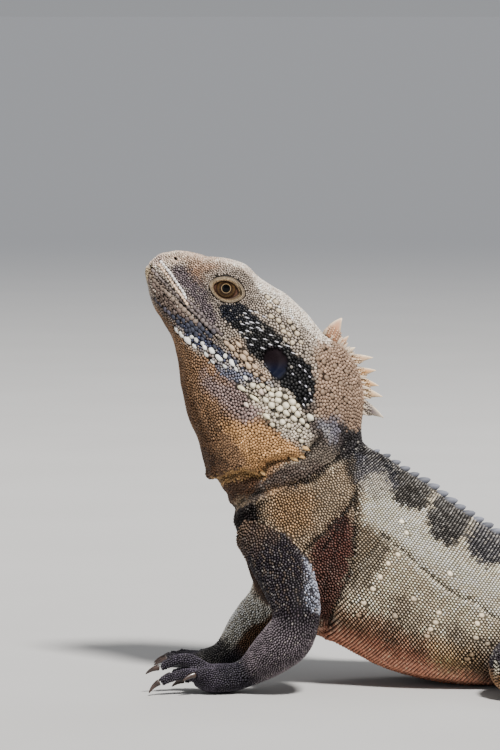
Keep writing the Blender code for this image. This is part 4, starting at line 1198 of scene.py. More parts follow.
THORN = ringed(8, ((.50, -.35, 0, .25), (.42, .35, .05, .85), (.20, .80, .30, 1.10)),
               (.78, 0, 1.0, 1.15))


def volume(form):
    """The volume that a form's faces enclose, which is above 0 if they point outwards."""
    points = np.array(form[0])[:, :3]
    a, b, c = (points[np.array(form[1])[:, n]] for n in range(3))
    return float((a * np.cross(b, c)).sum()) / 6


print("volumes of the forms:", [round(volume(form), 2) for form in
                                (KEELED, GRANULE, DOME, PLATE, TILE, FLAT, ROSETTE, THORN)])

# %% Copies of a form, joined
COAT = {}
SCALE_SEED = np.random.default_rng(97)
# The unwrap's room for the trunk and a limb in millimetres, for a full turn in radians,
# and the size of the patch that one scale takes on it
TRUNK_ROOM, LIMB_ROOM, TURN_ROOM, UV_PATCH = 262, 150, 7, 0.0028


def uv_place(points, part):
    """Places of roots on an unwrap of the skin: along its guides and round them."""
    uv = np.zeros((len(points), 2))
    for which, mine in sorted_parts(part):
        if which == "tail":
            along, turn, _, _ = along_line(points[mine], TAIL_LINE)
            shelf = np.clip((along / TAIL_LENGTH * 4).astype(int), 0, 3)
            uv[mine] = np.column_stack((along / TAIL_LENGTH * 4 - shelf,
                                        (shelf + 0.5 + turn / TURN_ROOM) / 4))
        elif which == "body":
            along, turn, _, _ = on_trunk(points[mine])
            uv[mine] = np.column_stack((along / TRUNK_ROOM, 0.5 + turn / TURN_ROOM))
        else:
            along, turn, _, _ = along_line(points[mine], LIMB_LINES[which][0])
            half = which.endswith("right")
            uv[mine] = np.column_stack((along / LIMB_ROOM, (half + 0.5 + turn / TURN_ROOM) / 2))
    return np.clip(uv, 0.004, 0.996)


# The colour of a painted highlight laid on the keels
PAINTED_KEEL_GLINT = linear(214, 210, 204)


def stance(spots, headings=None, normal=None):
    """How scales stand: their places, the ways up, ahead and across, and their nodes."""
    lain, faces = on_skin(spots)
    part = owner[F[faces][:, 0]]
    if normal is None:
        spots, normal = lain, FACE_NORMAL[faces]
    if headings is None:
        headings = ahead[F[faces]].sum(axis=1)
    heading = unit(headings - (headings * normal).sum(axis=1)[:, None] * normal)
    return spots, normal, heading, np.cross(normal, heading), part


# How many neighbours are asked, the distance that stands for no neighbour, and how far a
# corner may be drawn in or out, as shares of its own place
NEIGHBOURS = 10
NOBODY = 9.0
DRAWN_IN, DRAWN_OUT = 0.55, 1.3


class Crowd:
    """The scales that share the skin, to find how much room each of them has."""

    def __init__(self):
        self.rows = []

    def add(self, spots, sizes, headings=None):
        """Lets scales into the crowd."""
        spots, _, heading, _, _ = stance(spots, headings)
        self.rows.append(np.column_stack((spots, heading, sizes[:, :2] / 2)))

    def close(self):
        """Builds the tree of neighbours when all are in."""
        self.table = np.concatenate(self.rows)
        self.tree = tree_of(self.table[:, :3])

    def stretch(self, form, spots, heading, across, sizes):
        """How far each corner of each scale is drawn out or in to meet its neighbours."""
        near = np.array([[n for _, n, _ in self.tree.find_n(spot, NEIGHBOURS)] for spot in spots])
        other = self.table[near]
        gap = other[..., :3] - spots[:, None]
        far = np.linalg.norm(gap, axis=2)
        way = gap / np.maximum(far, 1e-6)[..., None]
        x = (way * heading[:, None]).sum(axis=2)
        y = (way * across[:, None]).sum(axis=2)
        mine = 0.5 / np.maximum(np.hypot(x / sizes[:, :1], y / sizes[:, 1:2]), 1e-3)
        turned = np.abs((way * other[..., 3:6]).sum(axis=2))
        theirs = 1 / np.hypot(turned / other[..., 6],
                              np.sqrt(np.clip(1 - turned ** 2, 0, 1)) / other[..., 7])
        border = np.where(far < 0.02, NOBODY, far * mine / (mine + theirs))
        ratios = []
        for along, side in np.array(form[0])[:, :2]:
            ox, oy = along * sizes[:, 0], side * sizes[:, 1]
            reach = np.maximum(np.hypot(ox, oy), 1e-6)
            slant = x * (ox / reach)[:, None] + y * (oy / reach)[:, None]
            room = np.where(slant > 0.1, border / np.maximum(slant, 0.1), NOBODY).min(axis=1)
            plain = 0.5 / np.hypot(ox / reach / sizes[:, 0], oy / reach / sizes[:, 1])
            fit = np.clip(room / plain, DRAWN_IN, DRAWN_OUT)
            ratios.append(np.where(reach > 0.02, fit, 1.0))
        return np.array(ratios).T


def lay(coat, form, spots, sizes, colours=None, headings=None, jitter=1.5, normal=None,
        shine=0.0, paler=0.0, crowd=None, fill=(1.0, 1.0), rough=0.0):
    """Adds copies of a form to a coat: sizes are length, width and height for each root."""
    spots, normal, heading, across, part = stance(spots, headings, normal)
    if colours is None:
        shake = SCALE_SEED.normal(scale=jitter, size=(len(spots), 2))
        colours = tones(spots, part, shake)
        colours = colours * np.exp(SCALE_SEED.normal(scale=0.22, size=(len(spots), 1)))
        # A share of scales, most of all bluish ones, is painted paler as glints
        cool = np.clip(colours[:, 2] / np.maximum(colours[:, 0], 1e-4), 0.2, 1.0)
        pale_glint = 0.42 * cool ** 2 * (SCALE_SEED.random(len(spots)) < paler)
        colours = colours + pale_glint[:, None] * (linear(176, 168, 158) - colours)
    table = np.array(form[0])
    fit = crowd.stretch(form, spots, heading, across, sizes) if crowd else 1.0
    fit = fit * (1 + rough * SCALE_SEED.normal(size=(len(spots), len(table))))
    corners = (spots[:, None]
               + (table[:, 0] * sizes[:, :1] * fit * fill[0])[..., None] * heading[:, None]
               + (table[:, 1] * sizes[:, 1:2] * fit * fill[1])[..., None] * across[:, None]
               + (table[:, 2] * sizes[:, 2:])[..., None] * normal[:, None])
    corners[..., 2] = np.maximum(corners[..., 2], 0.02)
    # Each corner's colour times its painted shade: shadow at the foot, highlight at the keel
    tone = colours[:, None] * table[None, :, 3, None]
    # A painted highlight on the keels of some scales, strongest on bluish ones
    glint = SCALE_SEED.uniform(0.1, 1.0, len(spots)) ** 3 * shine
    glint = glint * np.clip(0.1 + 0.9 * colours[:, 2] / np.maximum(colours[:, 0], 1e-4), 0.2, 1)
    tone = tone + (np.clip(table[:, 3] - 1, 0, 1)[None] * glint[:, None])[..., None] * PAINTED_KEEL_GLINT
    uv = uv_place(spots, part)[:, None] + table[None, :, :2] * UV_PATCH
    COAT.setdefault(coat, []).append((corners.reshape(-1, 3), np.array(form[1]), len(spots),
                                      tone.reshape(-1, 3), uv.reshape(-1, 2)))
    return len(spots)


def write_tone(mesh, colours):
    """Stores one colour for each point of a mesh."""
    attribute = mesh.color_attributes.new("tone", "FLOAT_COLOR", "POINT")
    full = np.ones((len(colours), 4), np.float32)
    full[:, :3] = np.clip(colours, 0, 1)
    attribute.data.foreach_set("color", full.ravel())


def solid_mesh(name, points, triangles):
    """A mesh made from arrays of points and triangles."""
    mesh = bpy.data.meshes.new(name)
    mesh.vertices.add(len(points))
    mesh.vertices.foreach_set("co", in_metres(points).astype(np.float32).ravel())
    mesh.loops.add(triangles.size)
    mesh.loops.foreach_set("vertex_index", triangles.astype(np.int32).ravel())
    mesh.polygons.add(len(triangles))
    mesh.polygons.foreach_set("loop_start", np.arange(0, triangles.size, 3, dtype=np.int32))
    mesh.update(calc_edges=True)
    return mesh


def write_coat(name, batches):
    """Makes a piece from all batches of a coat."""
    corners, forms, counts, tone, uv = zip(*batches)
    tone, uv = np.concatenate(tone), np.concatenate(uv)
    triangles, start = [], 0
    for batch, faces, count in zip(corners, forms, counts):
        firsts = start + len(batch) // count * np.arange(count)
        triangles.append((firsts[:, None, None] + faces[None]).reshape(-1, 3))
        start += len(batch)
    triangles = np.concatenate(triangles)
    mesh = solid_mesh(name, np.concatenate(corners), triangles)
    layer = mesh.uv_layers.new(name="OFBake")
    layer.data.foreach_set("uv", uv[triangles.ravel()].astype(np.float32).ravel())
    write_tone(mesh, tone)
    mesh.materials.append(SCALE_FINISH)
    piece = bpy.data.objects.new(name, mesh)
    bpy.context.scene.collection.objects.link(piece)
    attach(piece, "root")
    return len(triangles)


# %% [markdown]
# ## Plates and tubercles with places of their own
# The white ridge of the lips, the plates of the jaw, the cones and knobs of the jowl and
# the flecks in the dark stripe are large enough to be known one by one. Their places are
# read off the drawing and met on the left side by a line of sight, then mirrored.

# %% Places of the special scales
# Each row is a name, form, colour, length, width and height in millimetres, the way that
# it points on the drawing in degrees below level, and its places
DOWN_JAW = 52


def head_row(first, last, step, height):
    """Places on the drawing of a row along the head, from its distances behind the snout."""
    back = np.arange(first, last, step)
    line = SNOUT + back[:, None] * BACK + height * DORSAL - 8 * SIDE
    return [tuple(place) for place in drawn(line)]


def drawn_row(line, step):
    """Places every so far along a line on the drawing."""
    line = np.array(line, float)
    reach = np.concatenate(([0], np.cumsum(np.hypot(*np.diff(line, axis=0).T))))
    at = np.arange(0, reach[-1], step)
    return tuple(zip(np.interp(at, reach, line[:, 0]), np.interp(at, reach, line[:, 1])))


SPECIAL = (
    ("white ridge", THORN, (236, 230, 226), (1.75, 1.25, 0.75), DOWN_JAW,
     drawn_row(((161.5, 262.5), (166, 267.5), (170.5, 273.5), (175, 280), (179.5, 286.5),
                (183.5, 292.5), (186.5, 299)), 3.6)),
    ("cream ridge", THORN, (226, 196, 168), (1.6, 1.15, 0.6), DOWN_JAW,
     drawn_row(((160, 266), (163.5, 270.5), (168, 276.5), (172.5, 283), (177, 289.5),
                (181.5, 295.5), (185.5, 301.5), (188.5, 306)), 3.6)),
    ("upper lip", FLAT, (128, 116, 112), (1.95, 1.3, 0.32), 45, head_row(1.5, 33, 1.75, 0.35)),
    ("above the lip", FLAT, (112, 101, 100), (1.7, 1.1, 0.32), 45, head_row(16, 34, 1.6, 1.6)),
    ("lower lip", FLAT, (130, 114, 102), (2.05, 1.35, 0.32), 45, head_row(2.2, 33, 1.85, -1.65)),
    ("second jaw row", FLAT, (108, 92, 84), (2.3, 1.4, 0.32), 46, head_row(3.0, 31, 2.1, -3.1)),
    ("third jaw row", FLAT, (104, 89, 80), (2.4, 1.4, 0.32), 47, head_row(4.2, 30, 2.15, -4.6)),
    ("fourth jaw row", FLAT, (88, 84, 94), (2.3, 1.35, 0.32), 48, head_row(7.4, 28, 2.1, -6.1)),
    ("blue plates", FLAT, (66, 69, 84), (2.2, 1.25, 0.32), DOWN_JAW - 6,
     ((190.6, 331), (196.8, 335.2), (203, 339.6), (209.4, 343), (215.8, 347.4),
      (222.4, 352.4), (229, 357.4), (235.6, 362), (242, 366.6))),
    ("white jaw plates", PLATE, (228, 226, 220), (3.4, 1.75, 0.6), DOWN_JAW - 8,
     ((177.6, 330), (182.4, 335), (188.4, 340.6), (205, 347), (211.6, 350.8), (219.7, 358),
      (232.2, 363.4))),
    ("smaller white plates", PLATE, (218, 216, 210), (2.4, 1.3, 0.45), DOWN_JAW - 8,
     ((191.9, 336.9), (197.2, 340.6), (203.2, 344), (195.4, 346.4), (206.8, 354.6),
      (226, 356.4), (213.6, 361.4), (225.4, 366.6), (236.3, 369.8), (245.6, 378))),
    ("cheek plates", DOME, (184, 160, 134), (3.8, 2.1, 0.8), DOWN_JAW - 8,
     ((238.9, 345.4), (232.6, 348.2), (242.9, 358), (248.4, 366))),
    ("lesser cheek plates", DOME, (174, 150, 126), (2.5, 1.5, 0.6), DOWN_JAW - 8,
     ((226.6, 343.4), (236.4, 355.2), (246, 353), (250.6, 359.6), (254.8, 366.8), (256, 374.4),
      (263.4, 378.6), (241.4, 365.8))),
    ("cones of the jowl", THORN, (226, 216, 184), (3.9, 1.9, 1.5), 34,
     ((241.2, 388), (253.8, 397.6), (266.2, 415.6))),
    ("reddish knob", DOME, (206, 186, 172), (2.3, 1.7, 0.9), 40, ((247, 404.7), (261.3, 391.6))),
    ("round knobs", DOME, (222, 212, 188), (2.35, 2.1, 1.15), 40,
     ((253.2, 385.1), (270.6, 394.5), (265.7, 399.6), (278.2, 394.4), (277.3, 400.5),
      (271.5, 404.6), (279.1, 408.8), (285.4, 405.2), (285.8, 412.6), (292.1, 408.8),
      (291.6, 401.6), (297, 413.4), (293, 418.6), (281.8, 421.6), (301.4, 420.6))),
    ("small knobs", DOME, (206, 194, 168), (1.7, 1.5, 0.8), 40,
     ((258, 387), (262, 385), (268, 388), (272.6, 389.4), (285, 396.6), (297, 405.6),
      (288, 425), (298.4, 430), (276, 414.6), (272, 424), (306.4, 425.6), (301, 440))),
    ("knob behind the jowl", DOME, (222, 214, 196), (2.9, 2.7, 1.3), 40, ((309.6, 417),)),
    ("tips of the jowl", THORN, (222, 180, 124), (3.2, 1.8, 1.2), 30,
     ((300.2, 455), (292.6, 457), (262.6, 471.6), (304, 447))),
    ("knobs above the stripe", DOME, (184, 168, 144), (1.9, 1.7, 0.75), 45,
     ((267.5, 298.5), (275.5, 302.8), (269.3, 307), (278.2, 311.6), (271.1, 317.4),
      (278.2, 321), (288.9, 322.4), (281.8, 327.5), (283, 332.4), (288.6, 335.4),
      (284.6, 340.4), (291.8, 342.8), (296.6, 334), (300.6, 343), (292.4, 328.6))),
    ("flecks of the stripe", THORN, (200, 198, 204), (1.65, 0.65, 0.5), 22,
     ((244.7, 314.1), (246.5, 318.4), (242.1, 324.8), (246.8, 324), (251.2, 323), (257.2, 323.5),
      (251, 328.6), (257.6, 328.4), (247, 331.6), (240.7, 332.9), (270.2, 335.5),
      (253.9, 339.6), (276, 342.2), (269.7, 344.9), (279.1, 346.7), (251, 345.2),
      (262.1, 348.5), (286.7, 346.3), (292.1, 353.4), (250, 311.6), (256, 313), (263.6, 317.4),
      (260.4, 331), (264.6, 339.8), (246, 338.4))),
    ("small flecks behind the ear", THORN, (196, 194, 204), (1.1, 0.7, 0.5), 60,
     ((298.8, 365.9), (304.1, 370.8), (308.6, 376.6), (309, 393.1), (310.4, 399.8),
      (304.1, 398.5), (302.6, 404.3), (292, 374), (299, 382), (305, 386))),
    ("knobs of the neck", ROSETTE, None, (1.8, 1.8, 0.46), 30,
     ((322, 347), (329, 352), (323, 362), (317, 359), (334, 366), (326, 378), (340, 384),
      (331, 396), (346, 372), (345, 400), (336, 412), (322, 392), (350, 388), (319, 372))),
    ("knobs of the flank", DOME, None, (1.9, 1.75, 0.36), 30,
     ((396.3, 552.7), (378.1, 574.3), (371.5, 585.9), (386.4, 561), (411.3, 595.8),
      (436.1, 609.1), (432.8, 619), (427.8, 625.7), (424.5, 632.3), (393, 612.4),
      (469.3, 650.6), (464.3, 655.5), (472.6, 634), (448, 571), (362, 600), (357, 612),
      (400, 520), (405, 531), (478, 612), (484, 640), (474, 620))))
# Below the corner of the mouth the rows of the jaw are blue-grey
BLUE_JAW = ((172, 312), (186, 319), (198, 324), (208, 327), (217, 333), (227, 343), (238, 356),
            (236, 366), (220, 356), (200, 342), (184, 333), (172, 323))
special_tree_spots, special_reach = [], []
crowd, planned = Crowd(), []
for name, form, colour, size, turn, drawn_places in SPECIAL:
    hits = seen_at(drawn_places)
    missed = [place for place, hit in zip(drawn_places, hits) if hit is None]
    if missed:
        print("no skin behind", name, missed)
    spots = np.array([hit for hit in hits if hit is not None])
    way = np.array((math.cos(math.radians(turn)), 0, -math.sin(math.radians(turn))))
    both = np.concatenate((spots, spots * (1, -1, 1)))
    amount = len(both)
    sizes = np.array(size) * SCALE_SEED.uniform(0.88, 1.12, (amount, 3))
    if colour:
        tint = np.tile(linear(*colour), (amount, 1))
    else:
        tint = body_tones(both, 0.0) * 0.74 + 0.05 * linear(232, 206, 170)
    if form is FLAT:
        tint += patch(drawn(both), BLUE_JAW, 2)[:, None] * (linear(56, 58, 70) - tint)
    tint = tint * SCALE_SEED.uniform(0.86, 1.08, (amount, 1))
    ways = np.tile(way, (amount, 1))
    crowd.add(both, sizes, ways)
    planned.append((form, both, sizes, tint, ways))
    for step in (-0.33, 0, 0.33):
        special_tree_spots.append(both + step * size[0] * way)
        special_reach.append(np.full(amount, size[1] * (0.36 if form is THORN else 0.42)))
special_tree_spots = np.concatenate(special_tree_spots)
special_reach = np.concatenate(special_reach)
print(f"{sum(len(spots) for _, spots, _, _, _ in planned)} plates, knobs and flecks")

# %% Clear the places that carry no common scales
special_tree = tree_of(special_tree_spots)


def cleared(spots, half):
    """Roots outside the lids, mouth, nostrils, ear drums and larger scales."""
    back, high = on_head(spots)
    ear = patch(drawn(spots), EAR_DRUM, 0.5) * (back > 40) * (back < 62)
    mouth = away_from(drawn(spots), FOLDS["mouth"][0]) < 0.9
    keep = ~(mouth & (back < 34)) & (nostril_gap(spots) > 0.85) & (ear < 0.5)
    keep &= ~((eye_gap(spots) < 0.95) & (back < 40) & (high > 5))
    for n in np.flatnonzero(keep):
        _, other, gap = special_tree.find(spots[n])
        keep[n] = gap >= special_reach[other] + half[n] * 0.35
    return keep


# Each region has a form, the shares of its room that a scale fills in length and width, a height,
# how bright the painted highlight on the keels is, the share of scales painted paler as glints, and
# how far the markings' edges stray from scale to scale
SCALES = {
    "coat_head": (GRANULE, 1.03, 1.03, 0.50, 0.4, 0.05, 1.6),
    "coat_neck": (TILE, 0.98, 0.98, 0.38, 0.3, 0.05, 1.5),
    "coat_breast": (KEELED, 0.94, 0.92, 0.60, 0.8, 0.03, 1.5),
    "coat_torso_left": (KEELED, 0.80, 0.96, 0.72, 1.4, 0.15, 2.4),
    "coat_torso_right": (KEELED, 0.80, 0.96, 0.72, 1.4, 0.15, 2.4),
    "coat_tail": (KEELED, 0.92, 0.94, 0.70, 0.9, 0.10, 1.5),
    "coat_arms": (KEELED, 1.0, 0.92, 0.50, 0.5, 0.03, 1.5),
    "coat_legs": (KEELED, 0.98, 0.92, 0.60, 0.8, 0.10, 1.5),
    "coat_hands": (KEELED, 1.0, 1.0, 0.38, 0.2, 0.0, 1.5),
    "coat_feet": (KEELED, 0.98, 0.95, 0.45, 0.3, 0.05, 1.5)}

sizes_of = {}
for name in roots:
    spots = roots[name]
    gap = neighbour_gap(spots)
    keep = cleared(spots, gap / 2)
    roots[name] = spots[keep]
    gap = np.clip(gap[keep], 0.5, 2.4)
    sizes_of[name] = np.column_stack((gap, gap, SCALES[name][3] + 0 * gap))
    crowd.add(roots[name], sizes_of[name])
crowd.close()
for form, spots, sizes, tint, ways in planned:
    if form is THORN:
        lay("plates", form, spots, sizes, tint, ways, rough=0.09)
    else:
        lay("plates", form, spots, sizes, tint, ways, crowd=crowd, fill=(0.98, 0.98), rough=0.03)
for name, spots in roots.items():
    form, long, wide, _, shine, paler, shaken = SCALES[name]
    lay(name, form, spots, sizes_of[name], jitter=shaken, shine=shine, paler=paler, crowd=crowd,
        fill=(long, wide))
# A ring of small granules stands round each nostril
rim = [SNOUT + (NOSTRIL[0] + 1.15 * math.cos(t)) * BACK
       + (NOSTRIL[1] + 0.95 * math.sin(t)) * DORSAL - 8 * SIDE
       for t in np.arange(0, 2 * math.pi, 2 * math.pi / 9)]
rim = np.array([hit for hit in seen_at(drawn(np.array(rim))) if hit is not None])
rim = np.concatenate((rim, rim * (1, -1, 1)))
lay("plates", DOME, rim, np.tile((0.85, 0.75, 0.4), (len(rim), 1)),
    np.tile(linear(176, 150, 132), (len(rim), 1)))

# %% [markdown]
# ## The skin between the scales
# The fine mesh is thinned for the piece itself, which only shows in the gaps, and takes the same
# markings, darkened as painted shade between the scales.

# %% The skin as a piece
# The skin's markings are painted this much darker, as shade in the gaps between scales
SKIN_SHADE = 0.10
sunk = P - (1.5 * np.exp(-(nostril_gap(P) / 0.9) ** 2))[:, None] * N
for side in (-1, 1):
    from_eye = P - eye_of(side)
    far = np.maximum(np.linalg.norm(from_eye, axis=1), 1e-6)
    share = eased((1.0 - eye_gap(P)) / 0.12) * (P[:, 1] * side > 3)
    sunk = sunk + (share * (np.minimum(far, 5.1) / far - 1))[:, None] * from_eye
skin.data.vertices.foreach_set("co", in_metres(sunk).astype(np.float32).ravel())
bpy.ops.object.select_all(action="DESELECT")
skin.select_set(True)
apply_modifier(skin, "DECIMATE", ratio=0.55)
bpy.ops.object.shade_smooth()
thin_points, thin_faces, _ = read_mesh(skin.data)
thin_owner = owner[F[on_skin(thin_points)[1]][:, 0]]
in_head = np.isin(thin_owner, [flesh.index("head")])
drum_share = patch(drawn(thin_points), EAR_DRUM, 0.8) * in_head
# The ear drums keep more of their colour, and the nostrils' pits are painted black as shade
shade = SKIN_SHADE + (0.45 - SKIN_SHADE) * drum_share - 0.13 * (nostril_gap(thin_points) < 1.0)
write_tone(skin.data, tones(thin_points, thin_owner) * shade[:, None])
skin.data.materials.clear()
skin.data.materials.append(SKIN_FINISH)
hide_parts(*flesh)
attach(skin, "root")
print(f"skin: {len(thin_faces)} triangles")

# %% [markdown]
# ## Eyes
# The eye is the first thing that anyone looks at. It is a wet ball with a low bulge over
# the pupil, round which the iris lies in rings: a thin pale one, then brown, golden and
# reddish ones, and a dark rim. A sphere lies on its side, so that its rings of faces run
# round the pupil, and the colours come from the distance to the line of gaze.

# %% Helpers for pieces made by hand
def fresh():
    """Deselects everything, before a new primitive is added."""
    if bpy.context.object and bpy.context.object.mode != "OBJECT":
        bpy.ops.object.mode_set(mode="OBJECT")
    bpy.ops.object.select_all(action="DESELECT")


def settle(piece):
    """Applies a piece's place, turn and scale, so that all of it is in the mesh."""
    bpy.ops.object.select_all(action="DESELECT")
    piece.select_set(True)
    bpy.context.view_layer.objects.active = piece
    bpy.ops.object.transform_apply(location=True, rotation=True, scale=True)


def smoothed(piece, levels):
    """Rounds a piece with an applied subdivision surface."""
    apply_modifier(piece, "SUBSURF", levels=levels, render_levels=levels)
    bpy.ops.object.shade_smooth()


# %% The wet finish of the eye
eye_finish, eye_shader, eye_place = finish_named("wet golden eye", 0.30, 0.04, 0.16)
gaze = in_metres(EYE)
parts = eye_place.node("ShaderNodeSeparateXYZ", Vector=eye_place)
parts_z = Sock(parts.tree, parts.socket.node.outputs[2])
off_x = (parts - float(gaze[0])) * 1000
off_z = (parts_z - float(gaze[2])) * 1000
away = (off_x * off_x + off_z * off_z).sums("POWER", off_x * off_x + off_z * off_z, 0.5)
spin = away.sums("ARCTAN2", off_z, off_x)
rays = away.node("ShaderNodeTexNoise", {"noise_dimensions": "2D"}, Scale=1.0, Detail=3.0,
                 Vector=away.node("ShaderNodeCombineXYZ", X=spin * 7.0, Y=away * 0.6, Z=0.0))
# The pupil, the pale ring round it and the iris, by the distance from its middle in 6 mm
iris = (away * (1 / 6)).ramp(
    (0.0, linear(2, 2, 3)), (0.244, linear(3, 3, 4)), (0.256, linear(176, 154, 120)),
    (0.274, linear(140, 114, 80)), (0.292, linear(34, 23, 15)), (0.38, linear(54, 37, 22)),
    (0.47, linear(84, 63, 36)), (0.545, linear(36, 23, 15)), (0.61, linear(86, 60, 46)),
    (0.70, linear(122, 92, 78)), (0.79, linear(72, 50, 40)), (0.90, linear(36, 22, 16)))
streaks = rays.ramp((0.3, (0.45, 0.42, 0.38)), (0.68, (1.0, 1.0, 1.0)))
# Painted shadow of the upper lid: the iris's upper part is darkened and turned olive
painted_lid_shadow = off_z.above(1.4, 1.3) * 0.7
iris = iris.mixed((*linear(150, 140, 84), 1), painted_lid_shadow, "MULTIPLY")
into(eye_shader, "Base Color", iris.mixed(streaks, 0.8, "MULTIPLY"))
into(eye_shader, "Coat Weight", 0.16 - away.above(4.0, 0.5) * 0.16)
into(eye_shader, "Roughness", 0.10 + rays * 0.06)

# %% Eyeballs
for name, side in (("eye_left", -1), ("eye_right", 1)):
    fresh()
    middle = in_metres(eye_of(side))
    bpy.ops.mesh.primitive_uv_sphere_add(segments=56, ring_count=36, radius=5.86 * MM,
                                         location=middle, rotation=(math.pi / 2, 0, 0))
    ball = bpy.context.object
    ball.name = f"eyeball_{name[4:]}"
    settle(ball)
    for vertex in ball.data.vertices:
        vertex.select = bool((vertex.co.y - middle[1]) * side > 5.80 * MM)
    bpy.ops.object.mode_set(mode="EDIT")
    bpy.ops.transform.translate(value=(0, side * 0.42 * MM, 0), use_proportional_edit=True,
                                proportional_edit_falloff="SMOOTH",
                                proportional_size=3.9 * MM)
    bpy.ops.object.mode_set(mode="OBJECT")
    bpy.ops.object.shade_smooth()
    ball.data.materials.append(eye_finish)
    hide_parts(name)
    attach(ball, "root")
    print(ball.name, "bulges to", round((max(abs(v.co.y) for v in ball.data.vertices)
                                         - abs(middle[1])) / MM, 2), "mm")

# %% [markdown]
# ## Eyelids
# Two cream lids with dark edges frame the eye, and a second fold of skin runs round them.
# A ring of points is extruded and widened step by step, as by hand, then bent over the
# eyeball and let down onto the skin, so that the lids are as deep as real ones.

# %% Lids
# Each step of the lids: half length, half height, distance from the eye's middle, height
# over the skin, colour, and how far its own middle lies behind and above the pupil
LID_STEPS = (
    (3.76, 2.66, 5.60, None, (16, 10, 8), 0.12, -0.54),
    (4.00, 2.82, 6.10, None, (24, 15, 11), 0.12, -0.54),
    (4.18, 2.96, 6.42, None, (46, 30, 20), 0.14, -0.54),
    (4.50, 3.18, 6.72, None, (112, 88, 62), 0.20, -0.50),
    (5.04, 3.53, 6.92, None, (158, 136, 106), 0.28, -0.44),
    (5.62, 3.92, 6.98, 0.30, (168, 150, 124), 0.38, -0.36),
    (6.06, 4.24, 6.88, 0.32, (120, 106, 90), 0.46, -0.30),
    (6.34, 4.47, 6.40, 0.06, (40, 32, 28), 0.50, -0.25),
    (6.50, 4.62, 6.10, -0.10, (18, 14, 14), 0.50, -0.25),
    (6.72, 4.84, 5.90, -0.20, (24, 20, 18), 0.50, -0.25),
    (7.20, 5.40, 5.50, -0.70, (40, 34, 32), 0.50, -0.20))
LID_POINTS = 160
lid_finish = scaly("creamy lids", 0.8, 2600)


EYE_PLANE = EYE * (1, 0, 1)


def lid_place(step, k, side):
    """Where one point of a step of the lids lies on the drawing, bent over the eyeball."""
    wide, tall, ball, over, _, behind, above = LID_STEPS[step]
    turn = 2 * math.pi * k / LID_POINTS
    x, y = wide * math.cos(turn), tall * math.sin(turn) * abs(math.sin(turn)) ** 0.2
    x, y = x * (1 + 0.03 * math.cos(2 * turn)) + behind, y + above
    flat = (x * math.cos(LID_TILT) - y * math.sin(LID_TILT)) * BACK
    flat = flat + (x * math.sin(LID_TILT) + y * math.cos(LID_TILT)) * DORSAL
    from_pupil = float(np.linalg.norm(flat))
    out = max(math.sqrt(max(ball * ball - from_pupil * from_pupil, 0.0)), 0.4)
    if over is not None:
        start = Vector(EYE_PLANE + flat + (0, side * 40, 0))
        hit = skin_tree.ray_cast(start, Vector((0, -side, 0)))
        if hit[0] is not None:
            reach = abs(hit[0].y) - EYE_OUT + over
            out = max(out, reach) if over > 0 else reach
    return EYE_PLANE + flat + (0, side * (EYE_OUT + out), 0)


for label, side in (("left", -1), ("right", 1)):
    fresh()
    bpy.ops.mesh.primitive_circle_add(vertices=LID_POINTS, radius=LID_STEPS[0][0] * MM)
    lid = bpy.context.object
    lid.name = f"eyelids_{label}"
    bpy.ops.object.mode_set(mode="EDIT")
    for inner, outer in zip(LID_STEPS, LID_STEPS[1:]):
        wider = outer[0] / inner[0]
        bpy.ops.mesh.extrude_edges_move(TRANSFORM_OT_translate={"value": (0, 0, 0)})
        bpy.ops.transform.resize(value=(wider, wider, 1), center_override=(0, 0, 0))
    bpy.ops.object.mode_set(mode="OBJECT")
    radius = np.array([math.hypot(v.co.x, v.co.y) for v in lid.data.vertices]) / MM
    turns = np.array([math.atan2(v.co.y, v.co.x) for v in lid.data.vertices])
    step_of = np.abs(radius[:, None] - np.array([s[0] for s in LID_STEPS])[None]).argmin(axis=1)
    k_of = np.round(turns / (2 * math.pi) * LID_POINTS)
    bent = np.array([lid_place(s, k, side) for s, k in zip(step_of, k_of)])
    lid.data.vertices.foreach_set("co", in_metres(bent).astype(np.float32).ravel())
    shades = np.array([linear(*LID_STEPS[s][4]) for s in step_of])
    # The steps under the granules are painted darker, as shade between them
    write_tone(lid.data, shades * np.where(step_of > 2, 0.35, 1.0)[:, None])
    bpy.ops.object.mode_set(mode="EDIT")
    bpy.ops.mesh.select_all(action="SELECT")
    bpy.ops.mesh.normals_make_consistent(inside=False)
    bpy.ops.object.mode_set(mode="OBJECT")
    smoothed(lid, 1)
    crest = max(lid.data.polygons, key=lambda face: (face.center.y * side))
    if crest.normal.y * side < 0:
        lid.data.flip_normals()
    lid.data.materials.append(lid_finish)
    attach(lid, "root")
    print(lid.name, len(lid.data.polygons), "faces")

# %% Granules of the lids
# Each row: its place between two steps of the lids, and how many granules it has
LID_ROWS = ((3.3, 70), (4.1, 74), (4.9, 78), (5.7, 82), (6.3, 84))
for side in (-1, 1):
    for number, (step, count) in enumerate(LID_ROWS):
        below, share = int(step), step - int(step)
        turns = (np.arange(count + 1) + 0.5 * (number % 2)) / count * LID_POINTS
        line = np.array([(1 - share) * lid_place(below, k, side)
                         + share * lid_place(below + 1, k, side) for k in turns])
        spots, headings = line[:-1], unit(np.diff(line, axis=0))
        out = unit(spots - eye_of(side))
        tint = ((1 - share) * linear(*LID_STEPS[below][4])
                + share * linear(*LID_STEPS[below + 1][4]))
        colours = tint * SCALE_SEED.uniform(0.6, 1.25, (count, 1))
        lay("plates", GRANULE, spots, np.tile((0.50, 0.46, 0.22), (count, 1)), colours,
            headings, normal=out)
print("rows of granules on each pair of lids:", len(LID_ROWS))

# %% [markdown]
# ## Claws
# The solids' claws have the right form and only need a finer surface, so copies of them
# are merged and subdivided. They are horn, in a faintly mottled dark brown.

